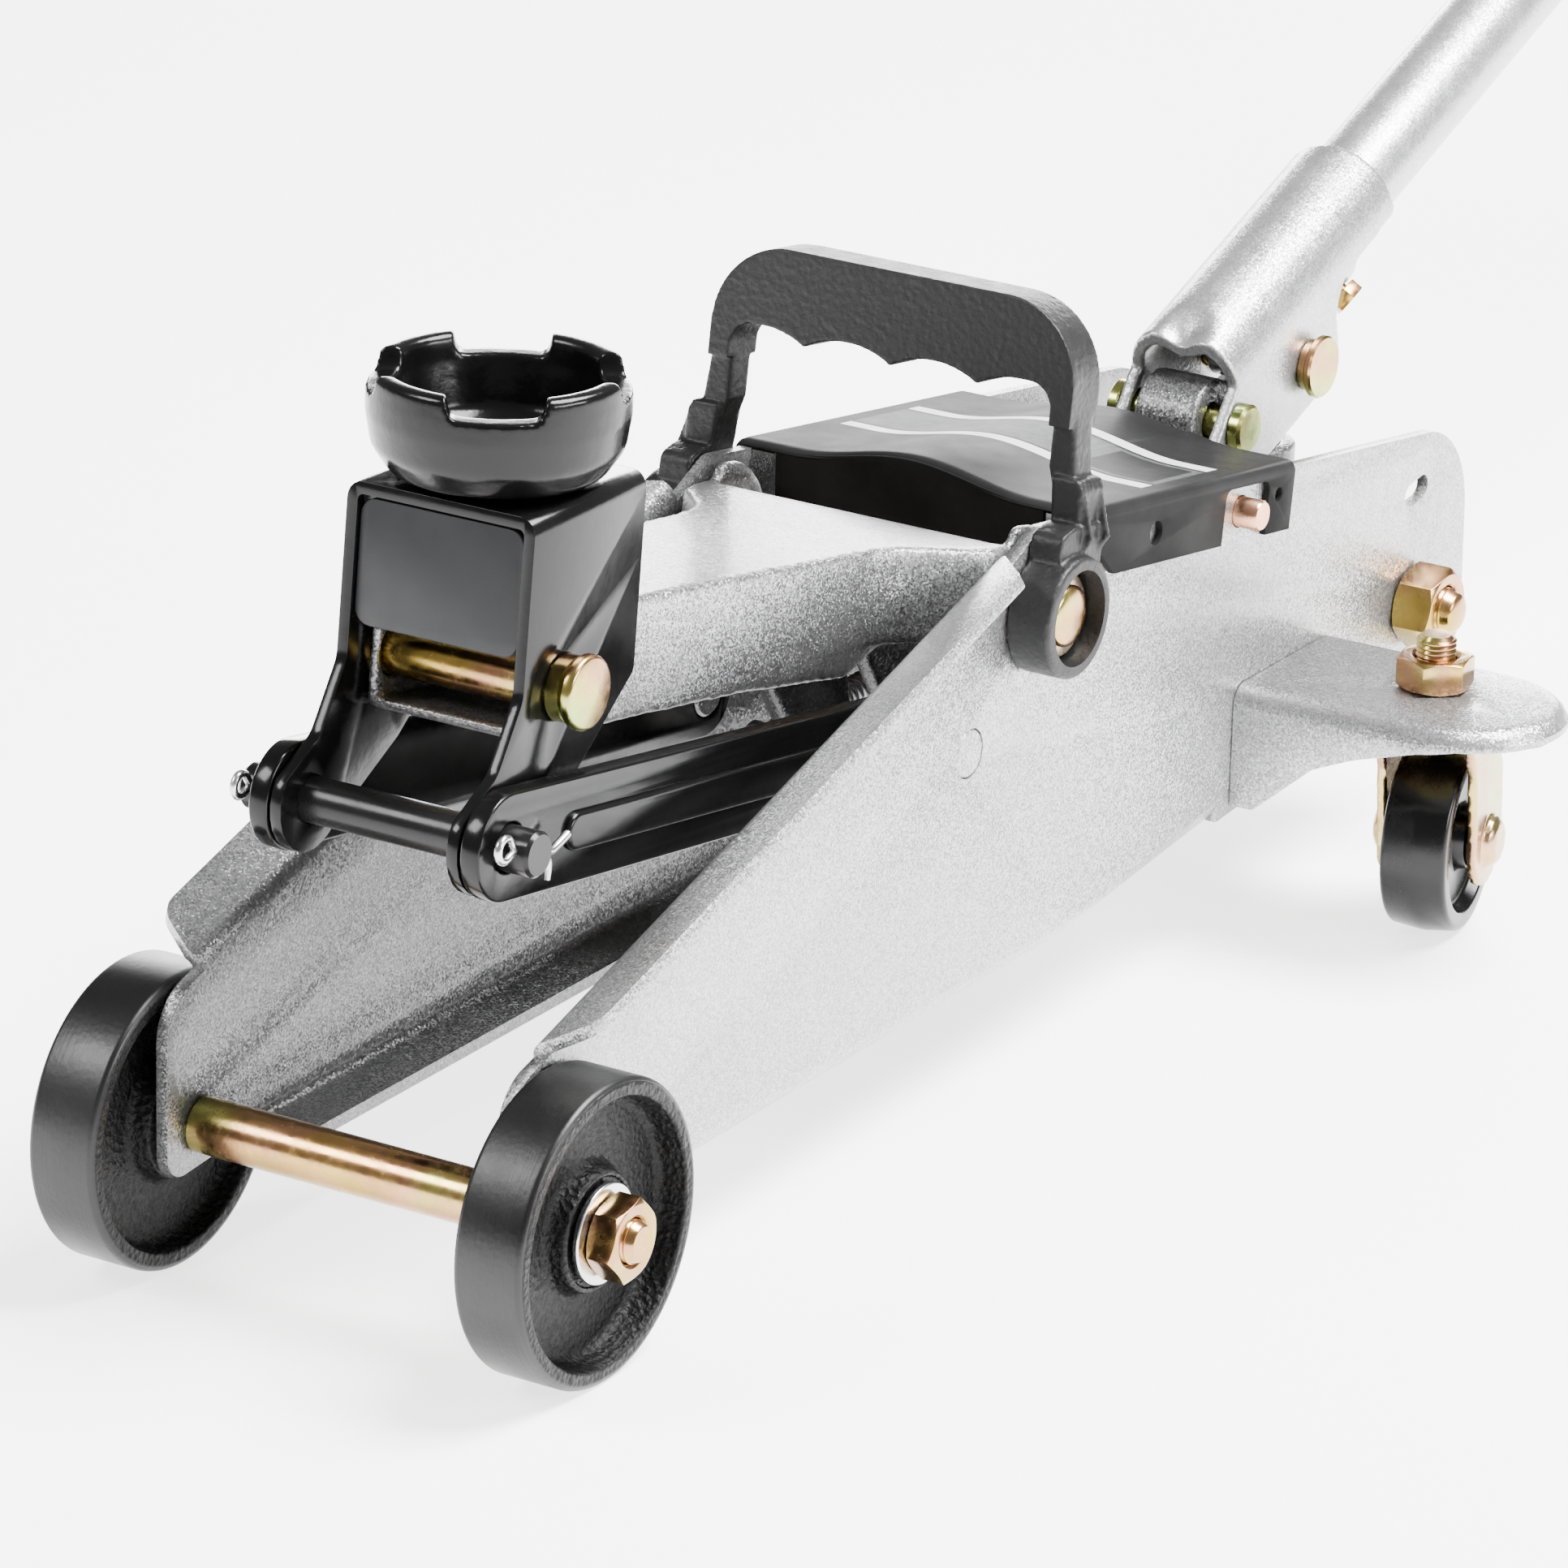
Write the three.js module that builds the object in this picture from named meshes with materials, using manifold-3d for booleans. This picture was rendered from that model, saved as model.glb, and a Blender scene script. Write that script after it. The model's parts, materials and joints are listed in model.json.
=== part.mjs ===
// Hydraulic trolley jack: two side plates on front wheels and rear casters, a parallelogram lift arm with a
// swivelling saddle, a hydraulic unit worked by a two-piece handle, and a carrying handle over the arm pivot.
// Millimetres, +Z up, +X towards the saddle, +Y left. The jack is drawn about its front axle, and the last
// lines move it so that the origin is the middle of its footprint, on the floor.
import * as THREE from "three";
import { mergeVertices } from "three/addons/utils/BufferGeometryUtils.js";
import Module from "manifold-3d";

const wasm = await Module();
wasm.setup();

// ---------------------------------------------------------------- driving dimensions
const GAP = 0.3; // between pieces that touch
const DEG = Math.PI / 180;

const PLATE_IN = 43.5; // inner face of a side plate, from the middle plane
const PLATE_OUT = 46.5;
const SHEET = PLATE_OUT - PLATE_IN;
const FLOOR_PLATE = 25.5; // underside of the side plates
const TOP_SLOPE = 0.296; // rise of the front top edge per mm towards the rear
const TOP_FRONT = 72.9; // height of that edge above the front axle
const REAR_SLOPE = 0.148;
const PEAK = { x: -209, z: 134 };
const FLANGE_END = -184;
const FLANGE_TIP = 4; // its inner side runs on this much further
const FLANGE_FLAT = 11;
const FLANGE_RISE = 20 * DEG;
const BEND_IN = 2.5;
const BOTTOM_FLANGE = { front: -6, rear: -232, width: 14 };

const WHEEL_R = 35;
const WHEEL_IN = 47.4; // inner and outer faces of a front wheel
const WHEEL_OUT = 64.9;
const AXLE_R = 6.45;
const STUD_R = 5;
const STUD_END = 73.5;

// Linkage: arm pivot A, link pivot B, arm front pin C, link front pin D, roller pin E
const A = { x: -208, z: 114.5 };
const ARM_LENGTH = 169.5;
const ARM_TILT = 8.7 * DEG;
const OFFSET_X = 28.5; // from A to B, and from C to D
const OFFSET_Z = -27.3;
const HEAD_LEAN = 1 * DEG; // the saddle bracket's top leans back by this
const SHAFT_R = 9;
const SHAFT_END_R = 6.5;
const ARM_PIN_R = 6;
const LINK_PIN_R = 5.25;
const LINK_REAR_PIN_R = 5.8;
const ROLLER_PIN_R = 5;
const ROLLER_R = 9;
const LEVER = 54; // from the arm pivot to the roller pin
const LEVER_BACK = 10.4 * DEG; // the lever leans back from straight down by this
const ARM_TOP = 15; // top and front end of the arm, measured from its pivot
const ARM_END = 177.6;
const LINK_IN = 25.2;
const LINK_THICK = 5;
const BRACKET_OUT = 24.5;
const BRACKET_SHEET = 2.8;

const SADDLE_R = 29.3;
const SADDLE_TURN = 32 * DEG;
const SADDLE_NOTCH = 10; // half width of the gaps between the lugs
const SADDLE_RIM = 20; // from the bracket to the floor of those gaps
const SADDLE_LUG = 5;
const COVER_PIN = { x: -305.7, z: 111.5, r: 3.8 };
const COTTER_Y = 34.6;
const COTTER_TILT = -20 * DEG;

const B = { x: A.x + OFFSET_X, z: A.z + OFFSET_Z };
const C = { x: A.x + ARM_LENGTH * Math.cos(ARM_TILT), z: A.z + ARM_LENGTH * Math.sin(ARM_TILT) };
const D = { x: C.x + OFFSET_X, z: C.z + OFFSET_Z };
const E = { x: A.x - LEVER * Math.sin(LEVER_BACK), z: A.z - LEVER * Math.cos(LEVER_BACK) };

// Rear ears and casters
const EAR = { front: -309, rear: -356.5, top: 66.3, round: 97, tip: 24.5 };
const STEM = { x: -335, y: 86.5, r: 5 };
const CASTER_R = 24.3;
const CASTER_HALF = 9;
const CASTER_TRAIL = 10.8;
const CASTER_TURN = 11 * DEG;

// Hydraulic unit
const RAM_Z = 63;
const RAM_R = 9.5;
const TANK = { r: 27, front: -264, rear: -336 };
const FILLER_X = -296;
const BLOCK = { front: -336, rear: -408, half: 39, bottom: 38, top: 88 };
const TIE = { x: -397, z: 62, r: 6 };
const VALVE = { y: 20, z: 76, r: 5 };

// Handle and its socket
const HANDLE_TILT = 20.2 * DEG;
const PIVOT = { x: -360, z: 112.5, r: 4.5 }; // socket pivot pin
const PUSH = { x: -396, z: 119.5, r: 5 }; // pin whose roller presses the pump plunger
const AXIS_OVER_PIVOT = 9.4; // the handle's axis passes this far above the pivot pin
const SOCKET = { r: 15.5, bore: 12, length: 84, band: 64, lip: -3, cheek: -26.3 };
const SCREW_AT = -58; // clamp screw of the handle, along the socket
const SCREW_TURN = 50 * DEG; // it enters from below on the left
const HANDLE_R = 11.5;
const HANDLE = { start: 44, joint: 330, spigot: 60, end: 600, grip: 125 };

const CARRY_LEAN = 8.4 * DEG;
const CARRY = { top: 72.5, barLow: 50, half: 49.8, legIn: 43.8, depth: 6.5, bossOut: 58.4, bossR: 14.6 };
const CARRY_BACK = 7.4; // the bar and its legs stand this far behind the pivot
const CARRY_LEG = { half: 4.3, low: 33, high: 47, collar: 54.5, shoulder: 22 }; // the legs between bar and feet
const SCALLOP = { pitch: 23.6, deep: 3.4 };

const COVER = { front: -226.5, rear: -331, out: 48.5, sheet: 1.6, skirt: 17, crown: 4.6 };
const APRON = { half: 37, low: 118 }; // the cover's front edge, turned down between the plates

// ---------------------------------------------------------------- materials
function material(color, roughness, metalness) {
  return new THREE.MeshStandardMaterial({ color, roughness, metalness });
}
const SILVER = () => material(0xb9babb, 0.42, 0.55);
const BLACK_PAINT = () => material(0x161617, 0.2, 0.1);
const CAST_IRON = () => material(0x1d1d1e, 0.5, 0.35);
const ZINC = () => material(0xc9a25e, 0.3, 0.9);
const WHITE_ZINC = () => material(0xd9dadd, 0.28, 0.9);
const BLACK_PLASTIC = () => material(0x242526, 0.6, 0.0);
const WHEEL_PLASTIC = () => material(0x121213, 0.3, 0.0);
const STEEL = () => material(0x8f9398, 0.35, 0.9);
const COPPER = () => material(0xc98058, 0.35, 0.85);

// ---------------------------------------------------------------- solid helpers
function toSolid(geometry) {
  const bare = geometry.index ? geometry.toNonIndexed() : geometry.clone();
  bare.deleteAttribute("normal");
  bare.deleteAttribute("uv");
  const merged = mergeVertices(bare, 1e-4);
  return new wasm.Manifold(
    new wasm.Mesh({
      numProp: 3,
      vertProperties: new Float32Array(merged.attributes.position.array),
      triVerts: new Uint32Array(merged.index.array),
    }),
  );
}

function toGeometry(solid) {
  const mesh = solid.getMesh();
  const count = mesh.numProp;
  const positions = new Float32Array(mesh.numVert * 3);
  for (let i = 0; i < mesh.numVert; i++) {
    positions.set(mesh.vertProperties.subarray(i * count, i * count + 3), i * 3);
  }
  const geometry = new THREE.BufferGeometry();
  geometry.setAttribute("position", new THREE.BufferAttribute(positions, 3));
  geometry.setIndex(new THREE.BufferAttribute(new Uint32Array(mesh.triVerts), 1));
  return geometry;
}

function join(...pieces) {
  return toGeometry(pieces.map(toSolid).reduce((sum, piece) => sum.add(piece)));
}

function cut(piece, ...tools) {
  return toGeometry(tools.map(toSolid).reduce((rest, tool) => rest.subtract(tool), toSolid(piece)));
}

function common(...pieces) {
  return toGeometry(pieces.map(toSolid).reduce((rest, piece) => rest.intersect(piece)));
}

// The same geometry on the other side of the middle plane, with its faces still pointing out.
function mirrored(geometry) {
  const copy = mergeVertices(geometry.clone().scale(1, -1, 1), 1e-4);
  const index = copy.index.array;
  for (let i = 0; i < index.length; i += 3) {
    [index[i + 1], index[i + 2]] = [index[i + 2], index[i + 1]];
  }
  return copy;
}

// ---------------------------------------------------------------- shape helpers
const EXTRUDE = { bevelEnabled: false, curveSegments: 8, steps: 1 };

function outline(points) {
  return new THREE.Shape(points.map(([x, y]) => new THREE.Vector2(x, y)));
}

// A closed outline whose named corners are rounded: each entry is x, y and the corner's radius.
function rounded(corners, segments = 5) {
  const points = [];
  corners.forEach(([x, y, radius = 0], i) => {
    const here = new THREE.Vector2(x, y);
    if (!radius) {
      points.push(here);
      return;
    }
    const [px, py] = corners[(i + corners.length - 1) % corners.length];
    const [nx, ny] = corners[(i + 1) % corners.length];
    const back = new THREE.Vector2(px, py).sub(here).normalize();
    const ahead = new THREE.Vector2(nx, ny).sub(here).normalize();
    const half = Math.acos(THREE.MathUtils.clamp(back.dot(ahead), -1, 1)) / 2;
    const reach = radius / Math.tan(half);
    const centre = back.clone().add(ahead).normalize().multiplyScalar(radius / Math.sin(half)).add(here);
    const from = here.clone().addScaledVector(back, reach).sub(centre).angle();
    const to = here.clone().addScaledVector(ahead, reach).sub(centre).angle();
    const turn = THREE.MathUtils.euclideanModulo(to - from + Math.PI, 2 * Math.PI) - Math.PI;
    for (let k = 0; k <= segments; k++) {
      const angle = from + (turn * k) / segments;
      points.push(new THREE.Vector2(radius * Math.cos(angle), radius * Math.sin(angle)).add(centre));
    }
  });
  return new THREE.Shape(points);
}

function circlePoints(x, y, radius, from, to, segments) {
  const points = [];
  for (let k = 0; k <= segments; k++) {
    const angle = from + ((to - from) * k) / segments;
    points.push([x + radius * Math.cos(angle), y + radius * Math.sin(angle)]);
  }
  return points;
}

// Extrusions of an outline: drawn in X and Z and running along Y, and so on.
function alongY(shape, y0, y1) {
  const geometry = new THREE.ExtrudeGeometry(shape, { ...EXTRUDE, depth: y1 - y0 });
  return geometry.rotateX(Math.PI / 2).translate(0, y1, 0);
}

function alongZ(shape, z0, z1) {
  return new THREE.ExtrudeGeometry(shape, { ...EXTRUDE, depth: z1 - z0 }).translate(0, 0, z0);
}

const Y_Z_X = new THREE.Matrix4().makeBasis(
  new THREE.Vector3(0, 1, 0),
  new THREE.Vector3(0, 0, 1),
  new THREE.Vector3(1, 0, 0),
);
function alongX(shape, x0, x1) {
  const geometry = new THREE.ExtrudeGeometry(shape, { ...EXTRUDE, depth: x1 - x0 });
  return geometry.applyMatrix4(Y_Z_X).translate(x0, 0, 0);
}

function box(x0, x1, y0, y1, z0, z1) {
  const geometry = new THREE.BoxGeometry(x1 - x0, y1 - y0, z1 - z0);
  return geometry.translate((x0 + x1) / 2, (y0 + y1) / 2, (z0 + z1) / 2);
}

function rodY(x, z, radius, y0, y1, segments = 24) {
  const geometry = new THREE.CylinderGeometry(radius, radius, y1 - y0, segments);
  return geometry.translate(x, (y0 + y1) / 2, z);
}

function rodZ(x, y, radius, z0, z1, segments = 24) {
  const geometry = new THREE.CylinderGeometry(radius, radius, z1 - z0, segments).rotateX(Math.PI / 2);
  return geometry.translate(x, y, (z0 + z1) / 2);
}

function rodX(y, z, radius, x0, x1, segments = 32) {
  const geometry = new THREE.CylinderGeometry(radius, radius, x1 - x0, segments).rotateZ(-Math.PI / 2);
  return geometry.translate((x0 + x1) / 2, y, z);
}

// A profile of radius and height, turned about the Y axis at x, z.
function turnedY(profile, x, z, segments = 32) {
  const points = [...profile, profile[0]].map(([r, y]) => new THREE.Vector2(r, y));
  return new THREE.LatheGeometry(points, segments).translate(x, 0, z);
}

function turnedZ(profile, x, y, segments = 32) {
  return turnedY(profile, 0, 0, segments).rotateX(Math.PI / 2).translate(x, y, 0);
}

function ring(inner, outer, low, high) {
  return [[inner, low], [outer, low], [outer, high], [inner, high]];
}

function hexagon(across) {
  return outline(circlePoints(0, 0, across / Math.sqrt(3), 0, 2 * Math.PI, 6).slice(0, 6));
}

function hexNutY(x, z, across, hole, y0, y1) {
  return cut(alongY(hexagon(across), y0, y1).translate(x, 0, z), rodY(x, z, hole, y0 - 1, y1 + 1));
}

// ---------------------------------------------------------------- scene
const jack = new THREE.Group();

function add(name, geometry, finish, parent = jack) {
  const mesh = new THREE.Mesh(geometry, finish);
  mesh.name = name;
  parent.add(mesh);
  return mesh;
}

// A left piece and its mirror image on the right.
function addPair(name, geometry, finish, parent = jack) {
  add(name + "_left", geometry, finish(), parent);
  add(name + "_right", mirrored(geometry), finish(), parent);
}

// ---------------------------------------------------------------- side plates
function webOutline() {
  const topAt = (x) => TOP_FRONT - TOP_SLOPE * x - BEND_IN;
  return rounded([
    [12, FLOOR_PLATE - 1.5, 6],
    [12, 67, 13],
    [-2, topAt(-2), 3],
    [FLANGE_END - 4, topAt(FLANGE_END - 4) + BEND_IN, 0],
    [PEAK.x, PEAK.z, 7],
    [-425, PEAK.z + REAR_SLOPE * (425 + PEAK.x) * -1, 26],
    [-426.5, 42, 12],
    [-307, 33.4, 20],
    [-228, FLOOR_PLATE, 20],
    [-20, FLOOR_PLATE, 0],
  ]);
}

// The top flange: a bend along the sloping edge and a flat strip that still rises outwards.
function topFlange() {
  const angle = Math.atan(TOP_SLOPE);
  const length = (-2 - FLANGE_END) / Math.cos(angle);
  const turn = Math.PI / 2 - FLANGE_RISE;
  const centre = PLATE_OUT + BEND_IN;
  const outer = circlePoints(centre, 0, BEND_IN + SHEET, Math.PI, Math.PI - turn, 5);
  const inner = circlePoints(centre, 0, BEND_IN, Math.PI - turn, Math.PI, 4);
  const bend = outline([[PLATE_IN, -6], ...outer, ...inner, [PLATE_OUT, -6]].reverse());
  const strip = rounded([
    [-0.5, 0, 0],
    [FLANGE_FLAT, 7, 8],
    [FLANGE_FLAT, length - 1, 2],
    [-0.5, length + FLANGE_TIP, 0],
  ]);
  const flat = alongZ(strip, 0, SHEET).rotateY(-FLANGE_RISE);
  const [startX, startZ] = circlePoints(centre, 0, BEND_IN, Math.PI - turn, Math.PI, 1)[0];
  flat.translate(startX, 0, startZ);
  const along = new THREE.Vector3(-Math.cos(angle), 0, Math.sin(angle));
  const outwards = new THREE.Vector3(0, 1, 0);
  const frame = new THREE.Matrix4().makeBasis(outwards, along, outwards.clone().cross(along));
  frame.setPosition(-2, 0, TOP_FRONT + TOP_SLOPE * 2 - BEND_IN - 0.5);
  return join(alongY(bend, 0, length), flat).applyMatrix4(frame);
}

// The bottom flange turns inwards, and its front corner is cut off.
function bottomFlange() {
  const { front, rear, width } = BOTTOM_FLANGE;
  const centreY = PLATE_IN - BEND_IN;
  const centreZ = BEND_IN + SHEET;
  const edge = PLATE_IN - width;
  const outer = circlePoints(centreY, centreZ, BEND_IN + SHEET, 0, -Math.PI / 2, 5);
  const inner = circlePoints(centreY, centreZ, BEND_IN, -Math.PI / 2, 0, 4);
  const section = outline([...outer, [edge, 0], [edge, SHEET], ...inner, [PLATE_IN, 8], [PLATE_OUT, 8]].reverse());
  const flange = alongX(section, rear, front).translate(0, 0, FLOOR_PLATE);
  const plan = outline([[rear, 50], [rear, edge - 1], [front - 8, edge - 1], [front, 38], [front, 50]]);
  return common(flange, alongZ(plan, 10, 40));
}

function sidePlate() {
  const slot = rounded([[-6, -3, 2.9], [6, -3, 2.9], [6, 3, 2.9], [-6, 3, 2.9]]);
  const web = cut(
    alongY(webOutline(), PLATE_IN, PLATE_OUT),
    rodY(0, WHEEL_R, STUD_R + GAP, 40, 50),
    rodY(A.x, A.z, SHAFT_END_R + GAP, 40, 50),
    rodY(B.x, B.z, LINK_REAR_PIN_R + GAP, 40, 50),
    rodY(TIE.x, TIE.z, TIE.r + GAP, 40, 50),
    rodY(COVER_PIN.x, COVER_PIN.z, COVER_PIN.r + GAP, 40, 50),
    alongY(slot, 40, 50).rotateY(Math.atan(REAR_SLOPE)).translate(-398.3, 0, 91.3),
  );
  return join(web, topFlange(), bottomFlange());
}

// ---------------------------------------------------------------- front axle and wheels
function frontAxle() {
  const half = PLATE_IN - GAP;
  return turnedY(
    [
      [0, -STUD_END], [STUD_R - 1, -STUD_END], [STUD_R, -STUD_END + 1], [STUD_R, -half],
      [AXLE_R - 0.8, -half], [AXLE_R, -half + 0.8], [AXLE_R, half - 0.8], [AXLE_R - 0.8, half],
      [STUD_R, half], [STUD_R, STUD_END - 1], [STUD_R - 1, STUD_END], [0, STUD_END],
    ],
    0,
    WHEEL_R,
  );
}

function frontWheel() {
  const bore = STUD_R + 0.4;
  const hub = 14;
  const rim = 30.5;
  const web = WHEEL_IN + 5;
  return turnedY(
    [
      [bore, WHEEL_IN], [hub, WHEEL_IN], [hub + 1, web], [rim - 1, web], [rim, WHEEL_IN],
      [WHEEL_R - 1, WHEEL_IN], [WHEEL_R, WHEEL_IN + 1], [WHEEL_R, WHEEL_OUT - 1], [WHEEL_R - 1, WHEEL_OUT],
      [rim, WHEEL_OUT], [rim - 1, web + 5.5], [hub + 1.5, web + 5.5], [hub - 0.5, WHEEL_OUT - 2.5],
      [bore, WHEEL_OUT - 2.5],
    ],
    0,
    WHEEL_R,
    40,
  );
}

// ---------------------------------------------------------------- lift arm, links and their pins
// The arm is drawn along X from its pivot; its group turns it to its tilt.
const arm = new THREE.Group();
arm.position.set(A.x, 0, A.z);
arm.rotation.y = -ARM_TILT;
jack.add(arm);

const LEVER_X = -LEVER * Math.sin(LEVER_BACK + ARM_TILT);
const LEVER_Z = -LEVER * Math.cos(LEVER_BACK + ARM_TILT);

// Half widths of the arm seen from above, from its front end to its pivot, less a wall where one is given.
function armPlan(inset, back) {
  const side = [
    [ARM_END, 21.2], [132, 21.2], [64, 24.2], [42, 25.5], [33, 28.5], [26, 34.5], [20, 40], [13, 41.8], [back, 41.8],
  ];
  const left = side.map(([x, y]) => [x, y - inset]);
  const right = left.map(([x, y]) => [x, -y]).reverse();
  return outline([...right, ...left]);
}

function liftArm() {
  const wall = 3;
  const lobe = 19;
  const lobeSide = rounded([
    [ARM_END, -9, 3],
    [ARM_END, ARM_TOP, 6.5],
    [6, ARM_TOP, 0],
    [4, 18.4, 0],
    ...circlePoints(0, 0, lobe, 85 * DEG, 285 * DEG, 16),
    [20, -8, 6],
    [60, -8, 0],
    [70, -9, 0],
  ]);
  const boxSide = rounded([
    [ARM_END - 0.5, -13, 3], [ARM_END - 0.5, ARM_TOP, 6.5], [30, ARM_TOP, 0], [30, -8, 0], [46, -15, 8], [90, -13, 0],
  ]);
  const boxPlan = (inset, front, rear) => {
    const left = [[front, 21.2], [132, 21.2], [64, 24.2], [rear, 24.7]].map(([x, y]) => [x, y - inset]);
    return outline([...left.map(([x, y]) => [x, -y]).reverse(), ...left]);
  };
  const flared = common(alongY(lobeSide, -42, 42), alongZ(armPlan(0, -25), -25, 25));
  const hollow = alongZ(armPlan(wall, -40), -40, ARM_TOP - wall);
  const skin = cut(flared, hollow, box(-30, 7, -38.8, 38.8, 0, 30));
  const body = cut(
    common(alongY(boxSide, -25, 25), alongZ(boxPlan(0, ARM_END, 25), -20, 20)),
    alongZ(boxPlan(wall, ARM_END + 4, 0), -10, ARM_TOP - wall),
    box(20, 80, -20.5, 20.5, -30, 0),
  );
  const leverSide = rounded([
    [8, 13, 0],
    [42, 13, 0],
    [26, -16, 10],
    ...circlePoints(LEVER_X, LEVER_Z, 12, 0, -Math.PI, 10),
    [-14.5, -8, 8],
    ...circlePoints(0, 0, 11.3, Math.PI, 80 * DEG, 8),
  ]);
  const levers = [alongY(leverSide, 14, 19), alongY(leverSide, -19, -14)];
  return cut(
    join(skin, body, ...levers),
    rodY(0, 0, SHAFT_R + GAP, -60, 60, 28),
    rodY(ARM_LENGTH, 0, ARM_PIN_R + GAP, -60, 60),
    rodY(LEVER_X, LEVER_Z, ROLLER_PIN_R + GAP, -60, 60, 20),
  );
}

function pivotShaft() {
  const shoulder = PLATE_IN - GAP;
  const end = [
    [0, 57], [5, 57], [7, 56], [7.6, 54.6], [SHAFT_END_R, 54.4], [SHAFT_END_R, shoulder], [SHAFT_R, shoulder],
  ];
  const other = end.map(([r, y]) => [r, -y]).reverse();
  return turnedY([...end, ...other].reverse(), A.x, A.z);
}

function armFrontPin() {
  return turnedY(
    [
      [0, -29], [ARM_PIN_R - 1, -29], [ARM_PIN_R, -28], [ARM_PIN_R, 24.9], [7.6, 24.9], [7.6, 28.4], [7, 28.6],
      [7, 29.1], [8.5, 29.3], [8.5, 31.4], [7.9, 32], [0, 32],
    ],
    C.x,
    C.z,
  );
}

// A link bar from the plate pin to the saddle bracket, with a long pressed rib on its outer face.
function linkBar() {
  const rear = circlePoints(0, 0, 11.2, Math.PI / 2, 1.5 * Math.PI, 8);
  const front = circlePoints(ARM_LENGTH, 0, 12.3, -Math.PI / 2, Math.PI / 2, 10);
  const bar = alongY(outline([...rear, ...front]), LINK_IN, LINK_IN + LINK_THICK);
  const rib = alongY(
    rounded([[24, -4.5, 4.4], [141, -4.5, 4.4], [141, 4.5, 4.4], [24, 4.5, 4.4]]),
    LINK_IN + 1,
    LINK_IN + LINK_THICK + 1.5,
  );
  return cut(
    join(bar, rib),
    rodY(0, 0, LINK_REAR_PIN_R + GAP, 20, 40),
    rodY(ARM_LENGTH, 0, LINK_PIN_R + GAP, 20, 40),
  );
}

function linkRearPin() {
  const outside = LINK_IN + LINK_THICK + 0.4;
  return turnedY(
    [
      [0, LINK_IN - 0.6], [LINK_REAR_PIN_R, LINK_IN - 0.6], [LINK_REAR_PIN_R, outside], [8.5, outside],
      [8.5, PLATE_IN - GAP], [LINK_REAR_PIN_R, PLATE_IN - GAP], [LINK_REAR_PIN_R, PLATE_OUT], [0, PLATE_OUT],
    ],
    B.x,
    B.z,
    24,
  );
}

function linkFrontPin() {
  const end = 38;
  const bar = turnedY(
    [
      [0, -end], [LINK_PIN_R - 0.8, -end], [LINK_PIN_R, -end + 0.8],
      [LINK_PIN_R, end - 0.8], [LINK_PIN_R - 0.8, end], [0, end],
    ],
    D.x,
    D.z,
    24,
  );
  return cut(bar, cotterHole(COTTER_Y), cotterHole(-COTTER_Y));
}

function cotterHole(y) {
  return rodX(0, 0, 1.6, -10, 10, 10).rotateY(COTTER_TILT).translate(D.x, y, D.z);
}

// A split pin: an eye at the front, one shank through the pin and two bent prongs behind it.
function cotterPin() {
  const shank = rodX(0, 0, 1.2, -9.5, 6.6, 10);
  const eye = turnedZ([[1.3, -1.1], [3.6, -1.1], [3.6, 1.1], [1.3, 1.1]], 9.2, 0, 14);
  const prong = box(-15, -8.6, -0.9, 0.9, -0.9, 0.9).translate(9, 0, 0);
  const upper = prong.clone().rotateY(35 * DEG).translate(-9, 0, 0.2);
  const lower = prong.clone().rotateY(-70 * DEG).translate(-9, 0, -0.2);
  return join(shank, eye, upper, lower, box(-9.6, -7.5, -1.2, 1.2, -1.4, 1.4))
    .rotateY(COTTER_TILT)
    .translate(D.x, COTTER_Y, D.z);
}

// ---------------------------------------------------------------- saddle bracket and saddle
// Both are drawn about the arm front pin and lean back together.
const head = new THREE.Group();
head.position.set(C.x, 0, C.z);
head.rotation.y = -HEAD_LEAN;
jack.add(head);

const LEAN_COS = Math.cos(HEAD_LEAN);
const LEAN_SIN = Math.sin(HEAD_LEAN);
const EYE = { x: OFFSET_X * LEAN_COS + OFFSET_Z * LEAN_SIN, z: OFFSET_Z * LEAN_COS - OFFSET_X * LEAN_SIN };
const HEAD_TOP = 41;
const HEAD_BACK = -28.9; // rear and front edges at the height of the pin
const HEAD_FRONT = 15.3;
const HEAD_SLANT = 5 * DEG; // those edges lean back further than the top does
const SADDLE_X = -10;

function saddleBracket() {
  const inside = BRACKET_OUT - BRACKET_SHEET;
  const back = HEAD_TOP * Math.tan(HEAD_SLANT);
  const side = rounded([
    [HEAD_BACK - back, HEAD_TOP, 0],
    [HEAD_BACK, -4, 3],
    [-5, -22.6, 6],
    ...circlePoints(EYE.x, EYE.z, 12, 220 * DEG, 395 * DEG, 12),
    [25, -14, 8],
    [HEAD_FRONT, 1, 8],
    [HEAD_FRONT - back, HEAD_TOP, 0],
  ].reverse());
  const section = rounded([
    [-BRACKET_OUT, -60, 0], [BRACKET_OUT, -60, 0], [BRACKET_OUT, HEAD_TOP, 4], [-BRACKET_OUT, HEAD_TOP, 4],
  ]);
  const under = HEAD_TOP - BRACKET_SHEET;
  const inner = rounded([[-inside, -70, 0], [inside, -70, 0], [inside, under, 1.5], [-inside, under, 1.5]]);
  return cut(
    common(alongY(side, -30, 30), alongX(section, -45, 50)),
    alongX(inner, -55, 60),
    rodY(0, 0, ARM_PIN_R + GAP, -40, 40),
    rodY(EYE.x, EYE.z, LINK_PIN_R + GAP, -40, 40),
    rodZ(SADDLE_X, 0, 7.3, 30, 60),
  );
}

function bracketFrontPlate() {
  const half = BRACKET_OUT - BRACKET_SHEET - GAP;
  const top = HEAD_TOP - BRACKET_SHEET - 0.5;
  const shape = rounded([[-half, 9, 4], [half, 9, 4], [half, top, 4], [-half, top, 4]]);
  return alongX(shape, -4, -1).rotateY(-HEAD_SLANT).translate(HEAD_FRONT, 0, 0);
}

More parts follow.
